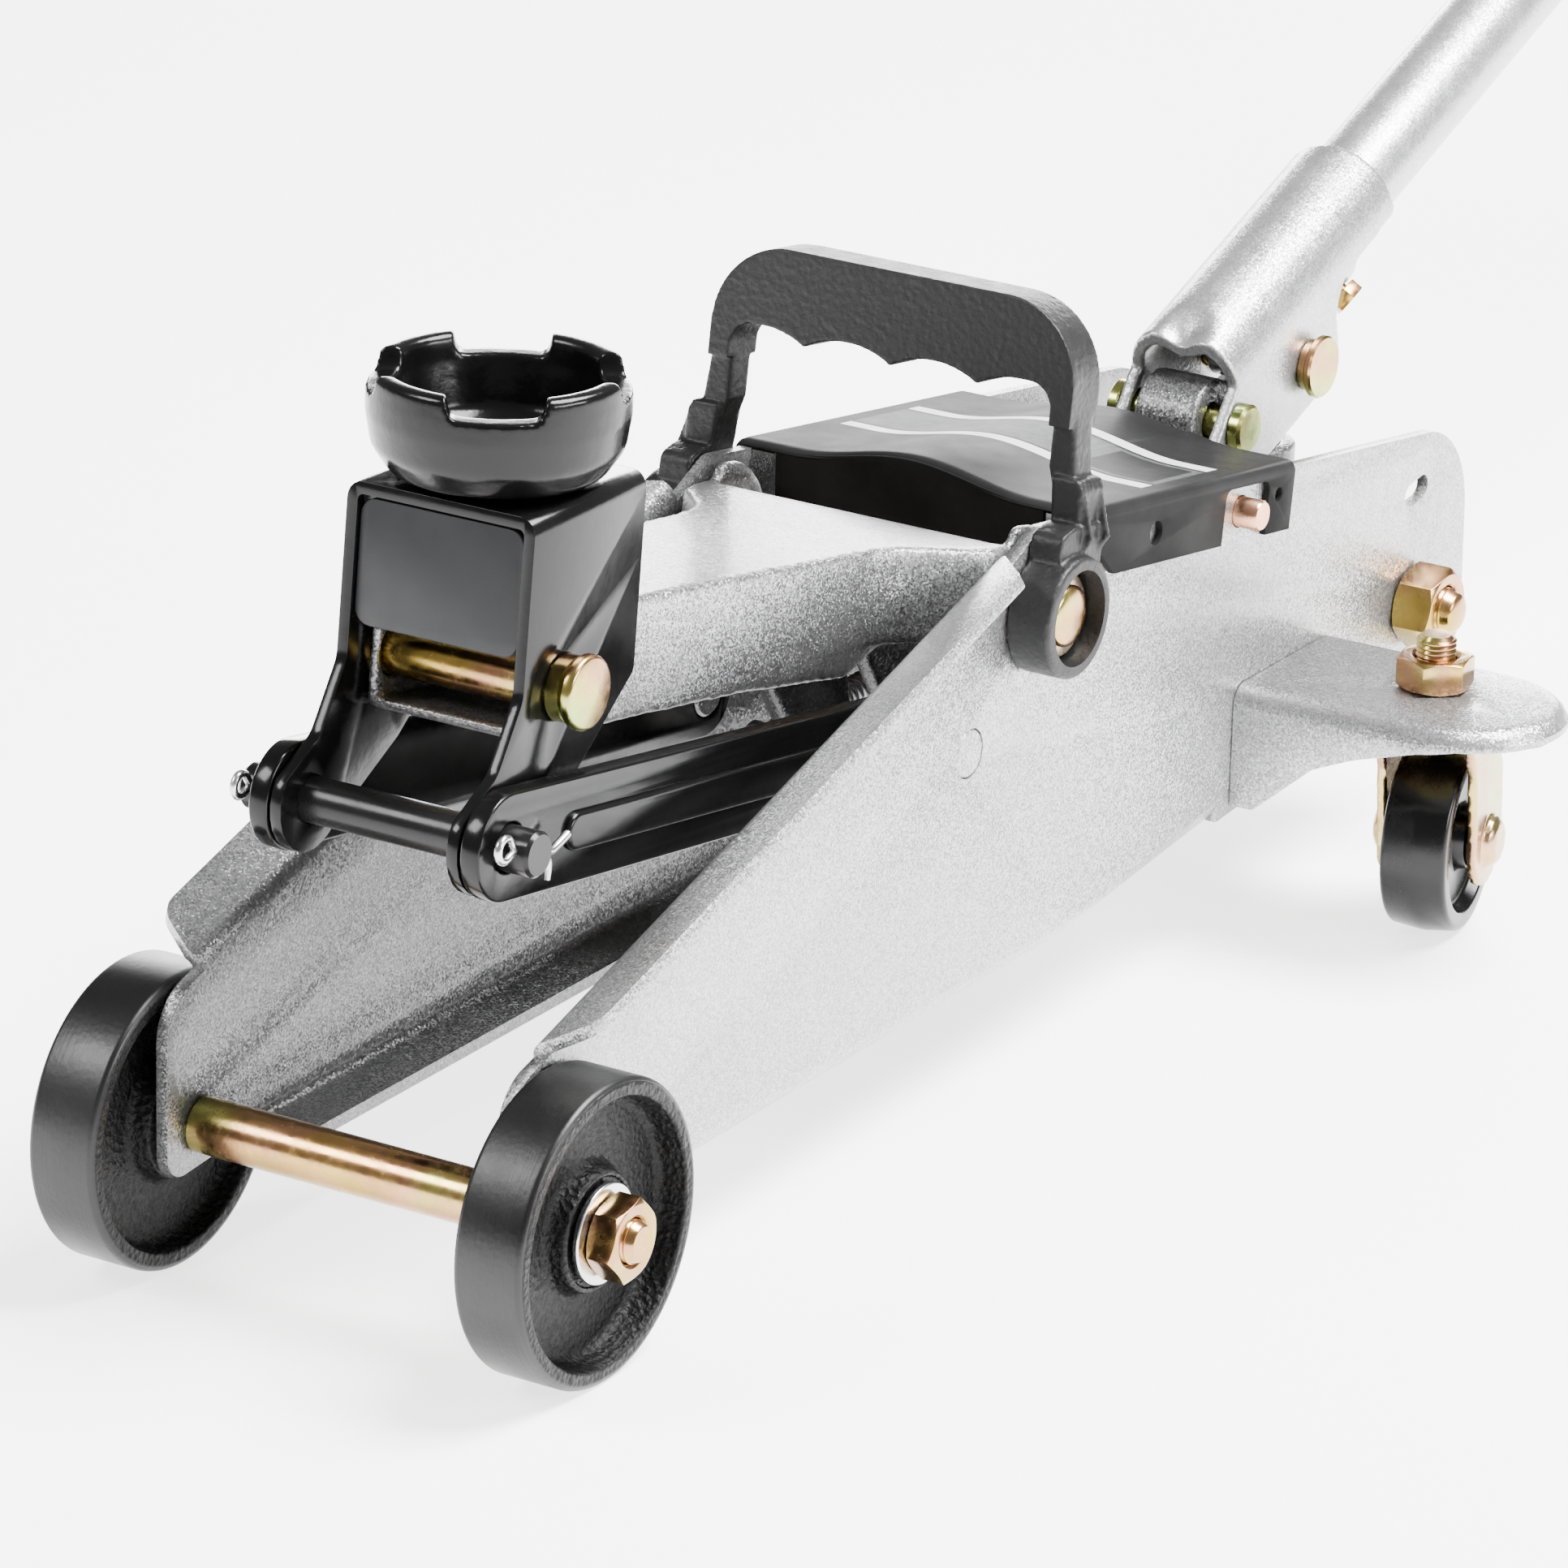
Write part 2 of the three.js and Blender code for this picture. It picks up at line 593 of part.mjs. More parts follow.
// A round cup with four lugs around its rim and a spigot that turns in the bracket.
function saddle() {
  const base = HEAD_TOP + GAP;
  const rim = base + SADDLE_RIM;
  const lugTop = rim + SADDLE_LUG;
  const cup = turnedZ(
    [
      [0, base - 10], [6.9, base - 10], [6.9, base], [17, base], [22, base + 0.8], [26, base + 3.8],
      [28.2, base + 8], [SADDLE_R, base + 14],
      [SADDLE_R, rim], [SADDLE_R - 5.5, rim], [SADDLE_R - 8, base + 8.5], [18, base + 6], [0, base + 6],
    ],
    0,
    0,
    32,
  );
  const lug = turnedZ(
    [
      [SADDLE_R - 5.5, rim - 1], [SADDLE_R, rim - 1], [SADDLE_R - 0.6, lugTop - 2.5], [SADDLE_R - 2.2, lugTop],
      [SADDLE_R - 4.2, lugTop - 0.3], [SADDLE_R - 5.3, lugTop - 2.5],
    ],
    0,
    0,
    32,
  );
  const notch = outline([
    [-SADDLE_NOTCH, rim], [SADDLE_NOTCH, rim], [SADDLE_NOTCH + 3, rim + 12], [-SADDLE_NOTCH - 3, rim + 12],
  ]);
  const across = alongX(notch, -40, 40);
  const lugs = cut(lug, across, across.clone().rotateZ(Math.PI / 2));
  return join(cup, lugs).rotateZ(SADDLE_TURN).translate(SADDLE_X, 0, 0);
}

// ---------------------------------------------------------------- rear ears and casters
function rearEar() {
  const corner = 5;
  const inner = corner - SHEET;
  const { front, rear, top } = EAR;
  const outside = rounded([[rear, 30, 0], [front + SHEET, 30, 0], [front + SHEET, top, corner], [rear, top, corner]]);
  const inside = rounded([
    [rear + SHEET, 20, 0], [front, 20, 0], [front, top - SHEET, inner], [rear + SHEET, top - SHEET, inner],
  ]);
  const middle = (front + SHEET + rear) / 2;
  const tip = circlePoints(middle, EAR.round, EAR.tip + 0.75, 0, Math.PI, 14);
  const plan = outline([[rear - 1, PLATE_OUT + GAP], [front + SHEET + 1, PLATE_OUT + GAP], ...tip]);
  const side = outline([
    [46, 70], [46, 35.5], [53, 35.5], [69, 49.5], [80, 54.3], [99, 60], [112, 63.1], [130, 63.1], [130, 70],
  ]);
  return cut(
    common(alongY(outside, 46, 130), alongZ(plan, 20, 80), alongX(side, -400, -250)),
    alongY(inside, 40, 140),
    rodZ(STEM.x, STEM.y, STEM.r + GAP, 50, 80, 20),
  );
}

function casterStem() {
  return turnedZ(
    [[0, 52.5], [8, 52.5], [8, 55.3], [STEM.r, 55.3], [STEM.r, 79.2], [STEM.r - 0.8, 80], [0, 80]],
    STEM.x,
    STEM.y,
    20,
  );
}

function casterNut() {
  const nut = alongZ(hexagon(17), EAR.top + GAP, EAR.top + 8.3);
  return cut(nut.translate(STEM.x, STEM.y, 0), rodZ(STEM.x, STEM.y, STEM.r + GAP, 60, 90, 20));
}

// Fork and wheel are drawn about the stem, and each caster's group turns them.
function casterGroup(side) {
  const group = new THREE.Group();
  group.position.set(STEM.x, side * STEM.y, 0);
  group.rotation.z = side * CASTER_TURN;
  jack.add(group);
  return group;
}

function casterFork() {
  const inside = CASTER_HALF + 1.4;
  const outside = inside + 2.4;
  const axle = circlePoints(-CASTER_TRAIL, CASTER_R, 11.5, 10 * DEG, -190 * DEG, 12);
  const leg = outline([[9, 58], [3, 44], ...axle, [-21, 42], [-13, 50], [-12, 58]]);
  const plate = turnedZ([[0, 55.7], [14.5, 55.7], [17.5, 56.5], [17.5, 59.6], [14.5, 60.4], [0, 60.4]], 0, 0, 28);
  const fork = cut(
    join(alongY(leg, inside, outside), alongY(leg, -outside, -inside), plate),
    rodZ(0, 0, STEM.r + GAP, 40, 80, 20),
  );
  return join(fork, casterAxle(outside));
}

function casterWheel() {
  const half = CASTER_HALF;
  const profile = [
    [3.9, -half], [7.5, -half], [8, -5.5], [18, -5.5], [19.5, -half + 0.6], [CASTER_R - 2, -half + 0.6],
    [CASTER_R, -half + 3], [CASTER_R, half - 3], [CASTER_R - 2, half - 0.6], [19.5, half - 0.6], [18, 5.5],
    [8, 5.5], [7.5, half], [3.9, half],
  ];
  return turnedY(profile, -CASTER_TRAIL, CASTER_R, 28);
}

// The wheel's axle is riveted into the fork, and its two heads stand out beyond the cheeks.
function casterAxle(out) {
  const end = [[0, out + 3], [4.6, out + 3], [6.4, out + 1.6], [6.6, out - 0.5], [3.5, out - 0.5]];
  const other = end.map(([r, y]) => [r, -y]).reverse();
  return turnedY([...end, ...other].reverse(), -CASTER_TRAIL, CASTER_R, 20);
}

// ---------------------------------------------------------------- hydraulic unit
function pumpBlock() {
  const { front, rear, half, bottom, top } = BLOCK;
  const body = alongY(
    rounded([[rear, bottom, 6], [front, bottom, 4], [front, top, 4], [rear, top, 8]]),
    -half,
    half,
  );
  const lug = alongY(
    outline([
      [PIVOT.x - 12, top - 4], [PIVOT.x + 11, top - 4], ...circlePoints(PIVOT.x, PIVOT.z, 11, 0, Math.PI, 10),
    ]),
    -8.5,
    8.5,
  );
  const boss = rodZ(PUSH.x, 0, 11.4, top - 4, 97, 24);
  return cut(
    join(body, lug, boss),
    rodY(PIVOT.x, PIVOT.z, PIVOT.r + GAP, -20, 20, 18),
    rodZ(PUSH.x, 0, 7.2, 70, 110, 20),
    rodY(TIE.x, TIE.z, TIE.r + GAP, -50, 50),
    rodX(VALVE.y, VALVE.z, VALVE.r + GAP, rear - 5, rear + 22, 18),
  );
}

function tank() {
  return cut(
    rodX(0, RAM_Z, TANK.r, TANK.rear + GAP, TANK.front, 40),
    rodX(0, RAM_Z, RAM_R + GAP, TANK.rear + 10, TANK.front + 5, 28),
    rodZ(FILLER_X, 0, 5.4, RAM_Z + 18, RAM_Z + 40, 16),
  );
}

function fillerPlug() {
  const low = RAM_Z + 19;
  const head = RAM_Z + TANK.r + 0.6;
  const top = head + 3.4;
  return turnedZ([[0, low], [5, low], [5, head], [7.5, head], [7.5, top], [0, top]], FILLER_X, 0, 16);
}

function ram() {
  const face = E.x - ROLLER_R - 0.6;
  const headBack = face - 8;
  return join(rodX(0, RAM_Z, RAM_R, TANK.rear + 32, headBack + 1, 28), rodX(0, RAM_Z, 13, headBack, face, 28));
}

function rollerPin() {
  const groove = 33.5;
  const end = [[0, 37], [5, 37], [5, groove + 1.5], [3.6, groove + 1], [3.6, groove - 1], [5, groove - 1.5]];
  const other = end.map(([r, y]) => [r, -y]).reverse();
  return turnedY([...end, ...other].reverse(), E.x, E.z, 20);
}

// Stand-in sleeve for a return spring, from the roller pin's groove back to the pump block.
function returnSpring() {
  const front = E.x - 5.6;
  const rear = BLOCK.front + GAP;
  const angle = Math.atan2(RAM_Z - E.z, front - rear);
  const length = (front - rear) / Math.cos(angle);
  const sleeve = cut(rodX(0, 0, 4, 0, length, 12), rodX(0, 0, 2.4, -5, length + 5, 10));
  return sleeve.rotateY(angle).translate(rear, 33.5, RAM_Z);
}

function tieRod() {
  const end = 61.5;
  return turnedY(
    [[0, -end], [TIE.r - 1.5, -end], [TIE.r, -end + 1.2], [TIE.r, end - 1.2], [TIE.r - 1.5, end], [0, end]],
    TIE.x,
    TIE.z,
    24,
  );
}

function pumpPlunger() {
  const top = PUSH.z - 7 - 0.4;
  return turnedZ([[0, 71.5], [6.9, 71.5], [6.9, top - 4], [9.5, top - 4], [9.5, top], [0, top]], PUSH.x, 0, 20);
}

function plungerSpring() {
  return turnedZ(ring(7.4, 9.2, 97.4, PUSH.z - 11.8), PUSH.x, 0, 16);
}

function releaseValve() {
  const rear = BLOCK.rear;
  const stem = rodX(VALVE.y, VALVE.z, VALVE.r, rear - 13, rear + 20, 18);
  const tee = rodZ(rear - 9, VALVE.y, 2.2, VALVE.z - 12, VALVE.z + 12, 12);
  return join(stem, tee);
}

// ---------------------------------------------------------------- cover
// A line across the cover's crown, this far under its outer face.
function crownLine(half, under) {
  const points = [];
  for (let k = 0; k <= 12; k++) {
    const y = half * (1 - k / 6);
    points.push([y, COVER.crown * (1 - (y / COVER.out) ** 2) - under]);
  }
  return points;
}

// The cover's sheet is drawn level, then turned to the slope of the plates' rear edge.
function cover() {
  const { front, rear, out, sheet, skirt } = COVER;
  const length = front - rear;
  const inner = out - sheet;
  const outside = outline([[out, -skirt], ...crownLine(out, 0), [-out, -skirt]]);
  const inside = outline([[inner, -40], ...crownLine(inner, sheet), [-inner, -40]]);
  const cornerCut = alongY(outline([[-17, -30], [5, -30], [5, -1.5], [-1.5, -1.5]].reverse()), -60, 60);
  const notch = alongY(rounded([[-92, -20], [-70, -20], [-70, -2.8, 3], [-92, -2.8, 3]]), -60, 60);
  const mouth = rounded([[-length - 5, -19], [-length + 3, -19, 3], [-length + 3, 19, 3], [-length - 5, 19]]);
  const level = cut(
    alongX(outside, -length, 0),
    alongX(inside, -length - 5, 5),
    cornerCut,
    cut(notch, box(-100, 0, -40, 40, -30, 20)),
    alongZ(mouth, -20, 20),
    rodY(-36, -9.5, 3, -60, 60, 14),
    rodY(-97, -7.5, 1.8, -60, 60, 12),
  );
  const edge = coverEdgeAt(front);
  const { half, low } = APRON;
  const apronTop = crownLine(half, 0.8).map(([y, z]) => [y, z + edge]);
  const apron = alongX(outline([[half, low], ...apronTop, [-half, low]]), front - sheet, front);
  return join(level.rotateY(-Math.atan(REAR_SLOPE)).translate(front, 0, edge), apron);
}

function coverEdgeAt(x) {
  return PEAK.z + 2.1 - REAR_SLOPE * (PEAK.x - x);
}

function coverPin() {
  return turnedY(
    [
      [0, 41], [5.5, 41], [5.5, PLATE_IN - GAP], [COVER_PIN.r, PLATE_IN - GAP],
      [COVER_PIN.r, 52.4], [COVER_PIN.r - 0.8, 53], [0, 53],
    ],
    COVER_PIN.x,
    COVER_PIN.z,
    20,
  );
}

// ---------------------------------------------------------------- handle
// Along the handle: drawn from the point above the pivot pin, running towards -X.
const handle = new THREE.Group();
handle.position.set(PIVOT.x, 0, PIVOT.z + AXIS_OVER_PIVOT);
handle.rotation.y = HANDLE_TILT;
jack.add(handle);

function inHandle(point) {
  const dx = point.x - PIVOT.x;
  const dz = point.z - PIVOT.z - AXIS_OVER_PIVOT;
  const cos = Math.cos(HANDLE_TILT);
  const sin = Math.sin(HANDLE_TILT);
  return { x: dx * cos - dz * sin, z: dx * sin + dz * cos };
}

function handleSocket() {
  const pivot = inHandle(PIVOT);
  const push = inHandle(PUSH);
  const tube = rodX(0, 0, SOCKET.r, -SOCKET.length, 0, 32);
  const cheek = rounded([
    [0, 1, 0],
    [-SOCKET.length + 8, 1, 0],
    [-SOCKET.length + 8, SOCKET.lip, 2],
    [-57, SOCKET.lip, 8],
    [-50, -10, 8],
    [-47.5, SOCKET.cheek, 7],
    [-8, SOCKET.cheek, 8],
    ...circlePoints(pivot.x, pivot.z, 12.5, 1.6 * Math.PI, 2 * Math.PI, 6),
  ].reverse());
  const bore = rodX(0, 0, SOCKET.bore, -SOCKET.length - 5, 5, 28);
  const channel = box(-49, 20, -SOCKET.bore, SOCKET.bore, -60, 0);
  const openRear = box(-SOCKET.length - 5, -SOCKET.band, -SOCKET.bore, SOCKET.bore, -60, 0);
  const underLip = box(-SOCKET.length - 5, -SOCKET.band, -30, 30, -60, SOCKET.lip);
  return cut(
    join(tube, alongY(cheek, -SOCKET.r, SOCKET.r)),
    bore,
    channel,
    openRear,
    underLip,
    rodY(pivot.x, pivot.z, PIVOT.r + GAP, -20, 20, 18),
    rodY(push.x, push.z, PUSH.r + GAP, -20, 20, 18),
    rodZ(0, 0, 2.6, -30, -5, 12).rotateX(SCREW_TURN).translate(SCREW_AT, 0, 0),
  );
}

function plungerPin() {
  const out = SOCKET.r;
  const neck = 6.5;
  const head = 8;
  return turnedY(
    [
      [0, -out - 2.5], [PUSH.r + 1.2, -out - 2.5], [PUSH.r + 1.2, -out - 0.4], [PUSH.r, -out - 0.4],
      [PUSH.r, out + 0.4], [neck, out + 0.4], [neck, out + 2.6], [head, out + 2.6], [head, out + 4.6], [0, out + 4.6],
    ],
    PUSH.x,
    PUSH.z,
    22,
  );
}

function socketPivotPin() {
  return turnedY(
    [
      [0, -19], [6, -19], [6, -16], [PIVOT.r, -16], [PIVOT.r, 16], [6.2, 16], [6.2, 18.6], [5.4, 19.4], [0, 19.4],
    ],
    PIVOT.x,
    PIVOT.z,
    22,
  );
}

function plungerRoller() {
  return turnedY(ring(PUSH.r + GAP, 7, -10, 10), inHandle(PUSH).x, inHandle(PUSH).z, 20);
}

function socketScrew() {
  const head = alongZ(hexagon(8), -SOCKET.r - 3.8, -SOCKET.r - 0.4);
  return join(rodZ(0, 0, 2.3, -SOCKET.r - 1, -12.4, 10), head).rotateX(SCREW_TURN).translate(SCREW_AT, 0, 0);
}

function tubeAlong(start, end, outer, inner) {
  return cut(rodX(0, 0, outer, -end, -start, 32), rodX(0, 0, inner, -end - 5, -start + 5, 28));
}

function lowerHandle() {
  return tubeAlong(HANDLE.start, HANDLE.joint, HANDLE_R, HANDLE_R - 1.6);
}

function upperHandle() {
  const { joint, spigot, end } = HANDLE;
  const r = HANDLE_R;
  const inner = r - 1.6;
  const neck = inner - GAP;
  const profile = [
    [neck - 1.5, joint - spigot], [neck, joint - spigot], [neck, joint + GAP], [r, joint + GAP], [r, end], [inner, end],
    [inner, joint + 3], [neck - 1.5, joint],
  ];
  return turnedY(profile, 0, 0, 32).rotateZ(Math.PI / 2);
}

function handleGrip() {
  const { end, grip } = HANDLE;
  const inner = HANDLE_R + GAP;
  const outer = HANDLE_R + 2.2;
  const profile = [
    [inner, end - grip], [outer - 0.6, end - grip], [outer, end - grip + 1], [outer, end + 1.4],
    [outer - 1, end + 2.4], [0, end + 2.4], [0, end + GAP], [inner, end + GAP],
  ];
  return turnedY(profile, 0, 0, 28).rotateZ(Math.PI / 2);
}

// ---------------------------------------------------------------- carrying handle
// Drawn upright about the arm pivot: a scalloped bar on two legs that end in bosses outside the plates.
const carry = new THREE.Group();
carry.position.set(A.x, 0, A.z);
carry.rotation.y = -CARRY_LEAN;
jack.add(carry);

function carryHandle() {
  const { top, barLow, half, legIn, depth, bossOut, bossR } = CARRY;
  const { low, high, collar, shoulder } = CARRY_LEG;
  const foot = PLATE_OUT + 0.4;
  const reach = legIn - 4.5;
  const scallops = [];
  for (let k = 1; k < 40; k++) {
    const y = reach - (reach * k) / 20;
    const wave = Math.abs(y) > 1.5 * SCALLOP.pitch ? 1 : Math.abs(Math.sin((Math.PI * y) / SCALLOP.pitch)) ** 0.75;
    scallops.push([y, barLow + SCALLOP.deep * wave, 0]);
  }
  const inside = barLow + SCALLOP.deep;
  const arch = rounded([
    [half + 2.5, shoulder, 0],
    [half, high, 0],
    [half, top, 20],
    [-half, top, 20],
    [-half, high, 0],
    [-half - 2.5, shoulder, 0],
    [-foot, shoulder, 0],
    [-legIn, low, 0],
    [-legIn, inside, 6],
    ...scallops.reverse(),
    [legIn, inside, 6],
    [legIn, low, 0],
    [foot, shoulder, 0],
  ].reverse());
  const behindLegs = (x0, x1) => box(x0, x1, -60, 60, low - 10, high);
  const leg = CARRY_LEG.half;
  const slab = cut(alongX(arch, -depth, depth), behindLegs(leg, 10), behindLegs(-10, -leg));
  const across = (side, near, far) => [Math.min(side * near, side * far), Math.max(side * near, side * far)];
  const collars = [1, -1].map((side) => box(-leg - 1.3, leg + 1.3, ...across(side, foot, collar), shoulder - 4, low));
  const upper = [slab, ...collars].map((piece) => piece.translate(-CARRY_BACK, 0, -1));
  const necks = [1, -1].map((side) => box(-13, 7, ...across(side, foot, bossOut - 3), 6, shoulder - 0.5));
  const bosses = [1, -1].map((side) => rodY(0, 0, bossR, ...across(side, foot, bossOut), 32));
  const recesses = [1, -1].map((side) => rodY(0, 0, 11.3, ...across(side, foot + 5, 80), 28));
  return cut(join(...upper, ...necks, ...bosses), rodY(0, 0, SHAFT_END_R + 0.5, -80, 80, 24), ...recesses);
}

// ---------------------------------------------------------------- assembly
addPair("side_plate", sidePlate(), SILVER);
add("front_axle", frontAxle(), ZINC());
addPair("front_wheel", frontWheel(), CAST_IRON);
addPair("front_washer", turnedY(ring(STUD_R + GAP, 11.5, WHEEL_OUT - 2.2, WHEEL_OUT - 0.7), 0, WHEEL_R), WHITE_ZINC);
addPair("front_nut", hexNutY(0, WHEEL_R, 17, STUD_R + GAP, WHEEL_OUT - 0.4, WHEEL_OUT + 6.6), ZINC);

add("lift_arm", liftArm(), SILVER(), arm);
add("pivot_shaft", pivotShaft(), ZINC());
addPair("pivot_washer", turnedY(ring(SHAFT_END_R + 0.4, 10.2, 52.3, 54), A.x, A.z, 28), ZINC);
add("arm_front_pin", armFrontPin(), ZINC());
add("roller_pin", rollerPin(), STEEL());
add("ram_roller", turnedY(ring(ROLLER_PIN_R + GAP, ROLLER_R, -12.5, 12.5), E.x, E.z, 24), STEEL());
addPair("link_bar", linkBar().rotateY(-ARM_TILT).translate(B.x, 0, B.z), BLACK_PAINT);
addPair("link_rear_pin", linkRearPin(), SILVER);
add("link_front_pin", linkFrontPin(), BLACK_PAINT());
addPair("cotter_pin", cotterPin(), WHITE_ZINC);

add("saddle_bracket", saddleBracket(), BLACK_PAINT(), head);
add("bracket_front_plate", bracketFrontPlate(), BLACK_PAINT(), head);
add("saddle", saddle(), BLACK_PAINT(), head);

addPair("rear_ear", rearEar(), SILVER);
addPair("caster_stem", casterStem(), ZINC);
addPair("caster_nut", casterNut(), ZINC);
const sides = { left: 1, right: -1 };
for (const [side, sign] of Object.entries(sides)) {
  const group = casterGroup(sign);
  add("caster_fork_" + side, casterFork(), ZINC(), group);
  add("caster_wheel_" + side, casterWheel(), WHEEL_PLASTIC(), group);
}

add("pump_block", pumpBlock(), SILVER());
add("oil_tank", tank(), SILVER());
add("filler_plug", fillerPlug(), WHEEL_PLASTIC());
add("ram", ram(), STEEL());
addPair("return_spring", returnSpring(), STEEL);
add("tie_rod", tieRod(), ZINC());
addPair("tie_nut", hexNutY(TIE.x, TIE.z, 19, TIE.r + GAP, PLATE_OUT + GAP, 57.5), ZINC);
add("pump_plunger", pumpPlunger(), STEEL());
add("plunger_spring", plungerSpring(), STEEL());
add("release_valve", releaseValve(), STEEL());
add("cover", cover(), BLACK_PAINT());
addPair("cover_pin", coverPin(), COPPER);

add("handle_socket", handleSocket(), SILVER(), handle);
add("socket_pivot_pin", socketPivotPin(), ZINC());
add("plunger_pin", plungerPin(), ZINC());
add("plunger_roller", plungerRoller(), STEEL(), handle);
add("socket_screw", socketScrew(), ZINC(), handle);
add("lower_handle", lowerHandle(), SILVER(), handle);
add("upper_handle", upperHandle(), SILVER(), handle);
add("handle_grip", handleGrip(), BLACK_PLASTIC(), handle);
add("carry_handle", carryHandle(), BLACK_PLASTIC(), carry);

// The origin is the middle of the whole jack's footprint, on the floor.
const root = new THREE.Group();
root.add(jack);
root.updateMatrixWorld(true);
const bounds = new THREE.Box3().setFromObject(jack, true);
const middle = bounds.getCenter(new THREE.Vector3());
jack.position.set(-middle.x, -middle.y, -bounds.min.z);

export default root;
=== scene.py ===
"""Looks of the trolley jack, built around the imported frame: rounded and detailed pieces in place of the
faceted solids, procedural paint, plating, cast iron and plastic, and a pale studio. Metres throughout."""

import json
import math

import bmesh
import bpy
from mathutils import Matrix, Vector


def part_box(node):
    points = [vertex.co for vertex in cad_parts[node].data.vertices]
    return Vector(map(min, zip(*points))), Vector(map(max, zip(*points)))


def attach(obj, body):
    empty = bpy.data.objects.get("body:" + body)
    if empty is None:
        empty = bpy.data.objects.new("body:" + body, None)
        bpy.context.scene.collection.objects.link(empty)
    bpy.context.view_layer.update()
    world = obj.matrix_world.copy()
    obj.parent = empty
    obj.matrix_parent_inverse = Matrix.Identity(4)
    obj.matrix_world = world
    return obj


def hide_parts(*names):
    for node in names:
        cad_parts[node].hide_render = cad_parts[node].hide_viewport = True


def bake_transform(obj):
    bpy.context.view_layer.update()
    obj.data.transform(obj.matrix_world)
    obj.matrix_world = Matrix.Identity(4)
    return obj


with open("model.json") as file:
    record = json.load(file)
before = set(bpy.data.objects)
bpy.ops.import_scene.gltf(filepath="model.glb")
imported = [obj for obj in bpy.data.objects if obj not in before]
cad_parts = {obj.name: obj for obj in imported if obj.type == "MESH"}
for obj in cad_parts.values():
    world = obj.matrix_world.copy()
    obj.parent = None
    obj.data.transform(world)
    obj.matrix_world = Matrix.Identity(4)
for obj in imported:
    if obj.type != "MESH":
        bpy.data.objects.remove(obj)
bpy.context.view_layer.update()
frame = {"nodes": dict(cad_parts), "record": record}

MM = 0.001
NODES = frame["nodes"]
BODY_OF = {n: body for body, nodes in frame["record"]["behaviour"]["bodies"].items() for n in nodes}
SLOT_OF = {s["node"]: s["material_slot"] for s in frame["record"]["subparts"]}


def centre(node):
    low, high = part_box(node)
    return (low + high) / 2


def middle_of(node):
    """The node's centre, moved to the middle plane."""
    at = centre(node)
    return Vector((at.x, 0, at.z))


def span(node, axis="y"):
    """Where a node starts and ends along an axis, in millimetres."""
    return [getattr(corner, axis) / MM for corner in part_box(node)]


def linked(name, data):
    """A new object of the scene, from a mesh, curve, light or camera."""
    obj = bpy.data.objects.new(name, data)
    bpy.context.scene.collection.objects.link(obj)
    return obj


# the axle and the four pins of the parallelogram: A and B in the chassis, C and D in the saddle bracket
AXLE = middle_of("front_axle")
UNDER_AXLE = Vector((AXLE.x, 0, 0))
PIVOT_A = middle_of("pivot_shaft")
PIVOT_B = middle_of("link_rear_pin_left")
PIVOT_C = middle_of("arm_front_pin")
PIVOT_D = middle_of("link_front_pin")
ARM_TILT = math.atan2(PIVOT_C.z - PIVOT_A.z, PIVOT_C.x - PIVOT_A.x)
ARM_TOP = 15 * MM  # the arm's top face, above the line between its pins


# ---------------------------------------------------------------- camera, floor and light
CAMERA_FROM_AXLE = Vector((1431.8, 983.7, 741.3)) * MM
CAMERA_FORWARD = Vector((-0.79854, -0.48931, -0.35058))
CAMERA_ROLL = math.radians(-1.32)
CAMERA_LENS = 197.5


def make_camera():
    data = bpy.data.cameras.new("camera")
    data.lens = CAMERA_LENS
    data.sensor_width = 36
    data.clip_end = 20
    camera = linked("camera", data)
    camera.rotation_mode = "QUATERNION"
    aim = CAMERA_FORWARD.to_track_quat("-Z", "Y")
    roll = Matrix.Rotation(CAMERA_ROLL, 4, CAMERA_FORWARD.normalized()).to_quaternion()
    camera.rotation_quaternion = roll @ aim
    camera.location = AXLE + CAMERA_FROM_AXLE
    bpy.context.scene.camera = camera


FLOOR_GLOW = 2.4  # the floor is a light table, so that it stays near white


def make_floor():
    bm = bmesh.new()
    bmesh.ops.create_grid(bm, x_segments=1, y_segments=1, size=6)
    data = bpy.data.meshes.new("floor")
    bm.to_mesh(data)
    bm.free()
    floor = linked("floor", data)
    finish = new_material("floor")
    shader = finish.node_tree.nodes["Principled BSDF"]
    shader.inputs["Base Color"].default_value = (0.92, 0.92, 0.92, 1)
    shader.inputs["Roughness"].default_value = 0.8
    shader.inputs["Specular IOR Level"].default_value = 0.1
    shader.inputs["Emission Color"].default_value = (1, 1, 1, 1)
    shader.inputs["Emission Strength"].default_value = FLOOR_GLOW
    data.materials.append(finish)


def area_light(name, at, target, size, power, size_y=None):
    data = bpy.data.lights.new(name, "AREA")
    data.energy = power
    data.size = size
    if size_y:
        data.shape = "RECTANGLE"
        data.size_y = size_y
    light = linked(name, data)
    light.location = at
    light.rotation_mode = "QUATERNION"
    light.rotation_quaternion = (Vector(target) - Vector(at)).to_track_quat("-Z", "Y")
    return light


def make_light():
    world = bpy.data.worlds.new("studio")
    world.use_nodes = True
    background = world.node_tree.nodes["Background"]
    background.inputs["Color"].default_value = (1, 1, 1, 1)
    background.inputs["Strength"].default_value = 0.4
    bpy.context.scene.world = world
    middle = (0.25, 0, 0.1)
    area_light("key", (-0.2, 0.7, 1.6), middle, 0.9, 165)
    area_light("front", (1.4, -0.9, 1.3), middle, 0.6, 30)
    area_light("side", (0.1, 2.0, 0.75), middle, 1.0, 36, 0.4)
    area_light("back", (-1.9, -1.1, 0.5), (0.1, 0, 0.1), 1.6, 80, 0.5)


# ---------------------------------------------------------------- material building blocks
def new_material(name):
    material = bpy.data.materials.new(name)
    material.use_nodes = True
    return material


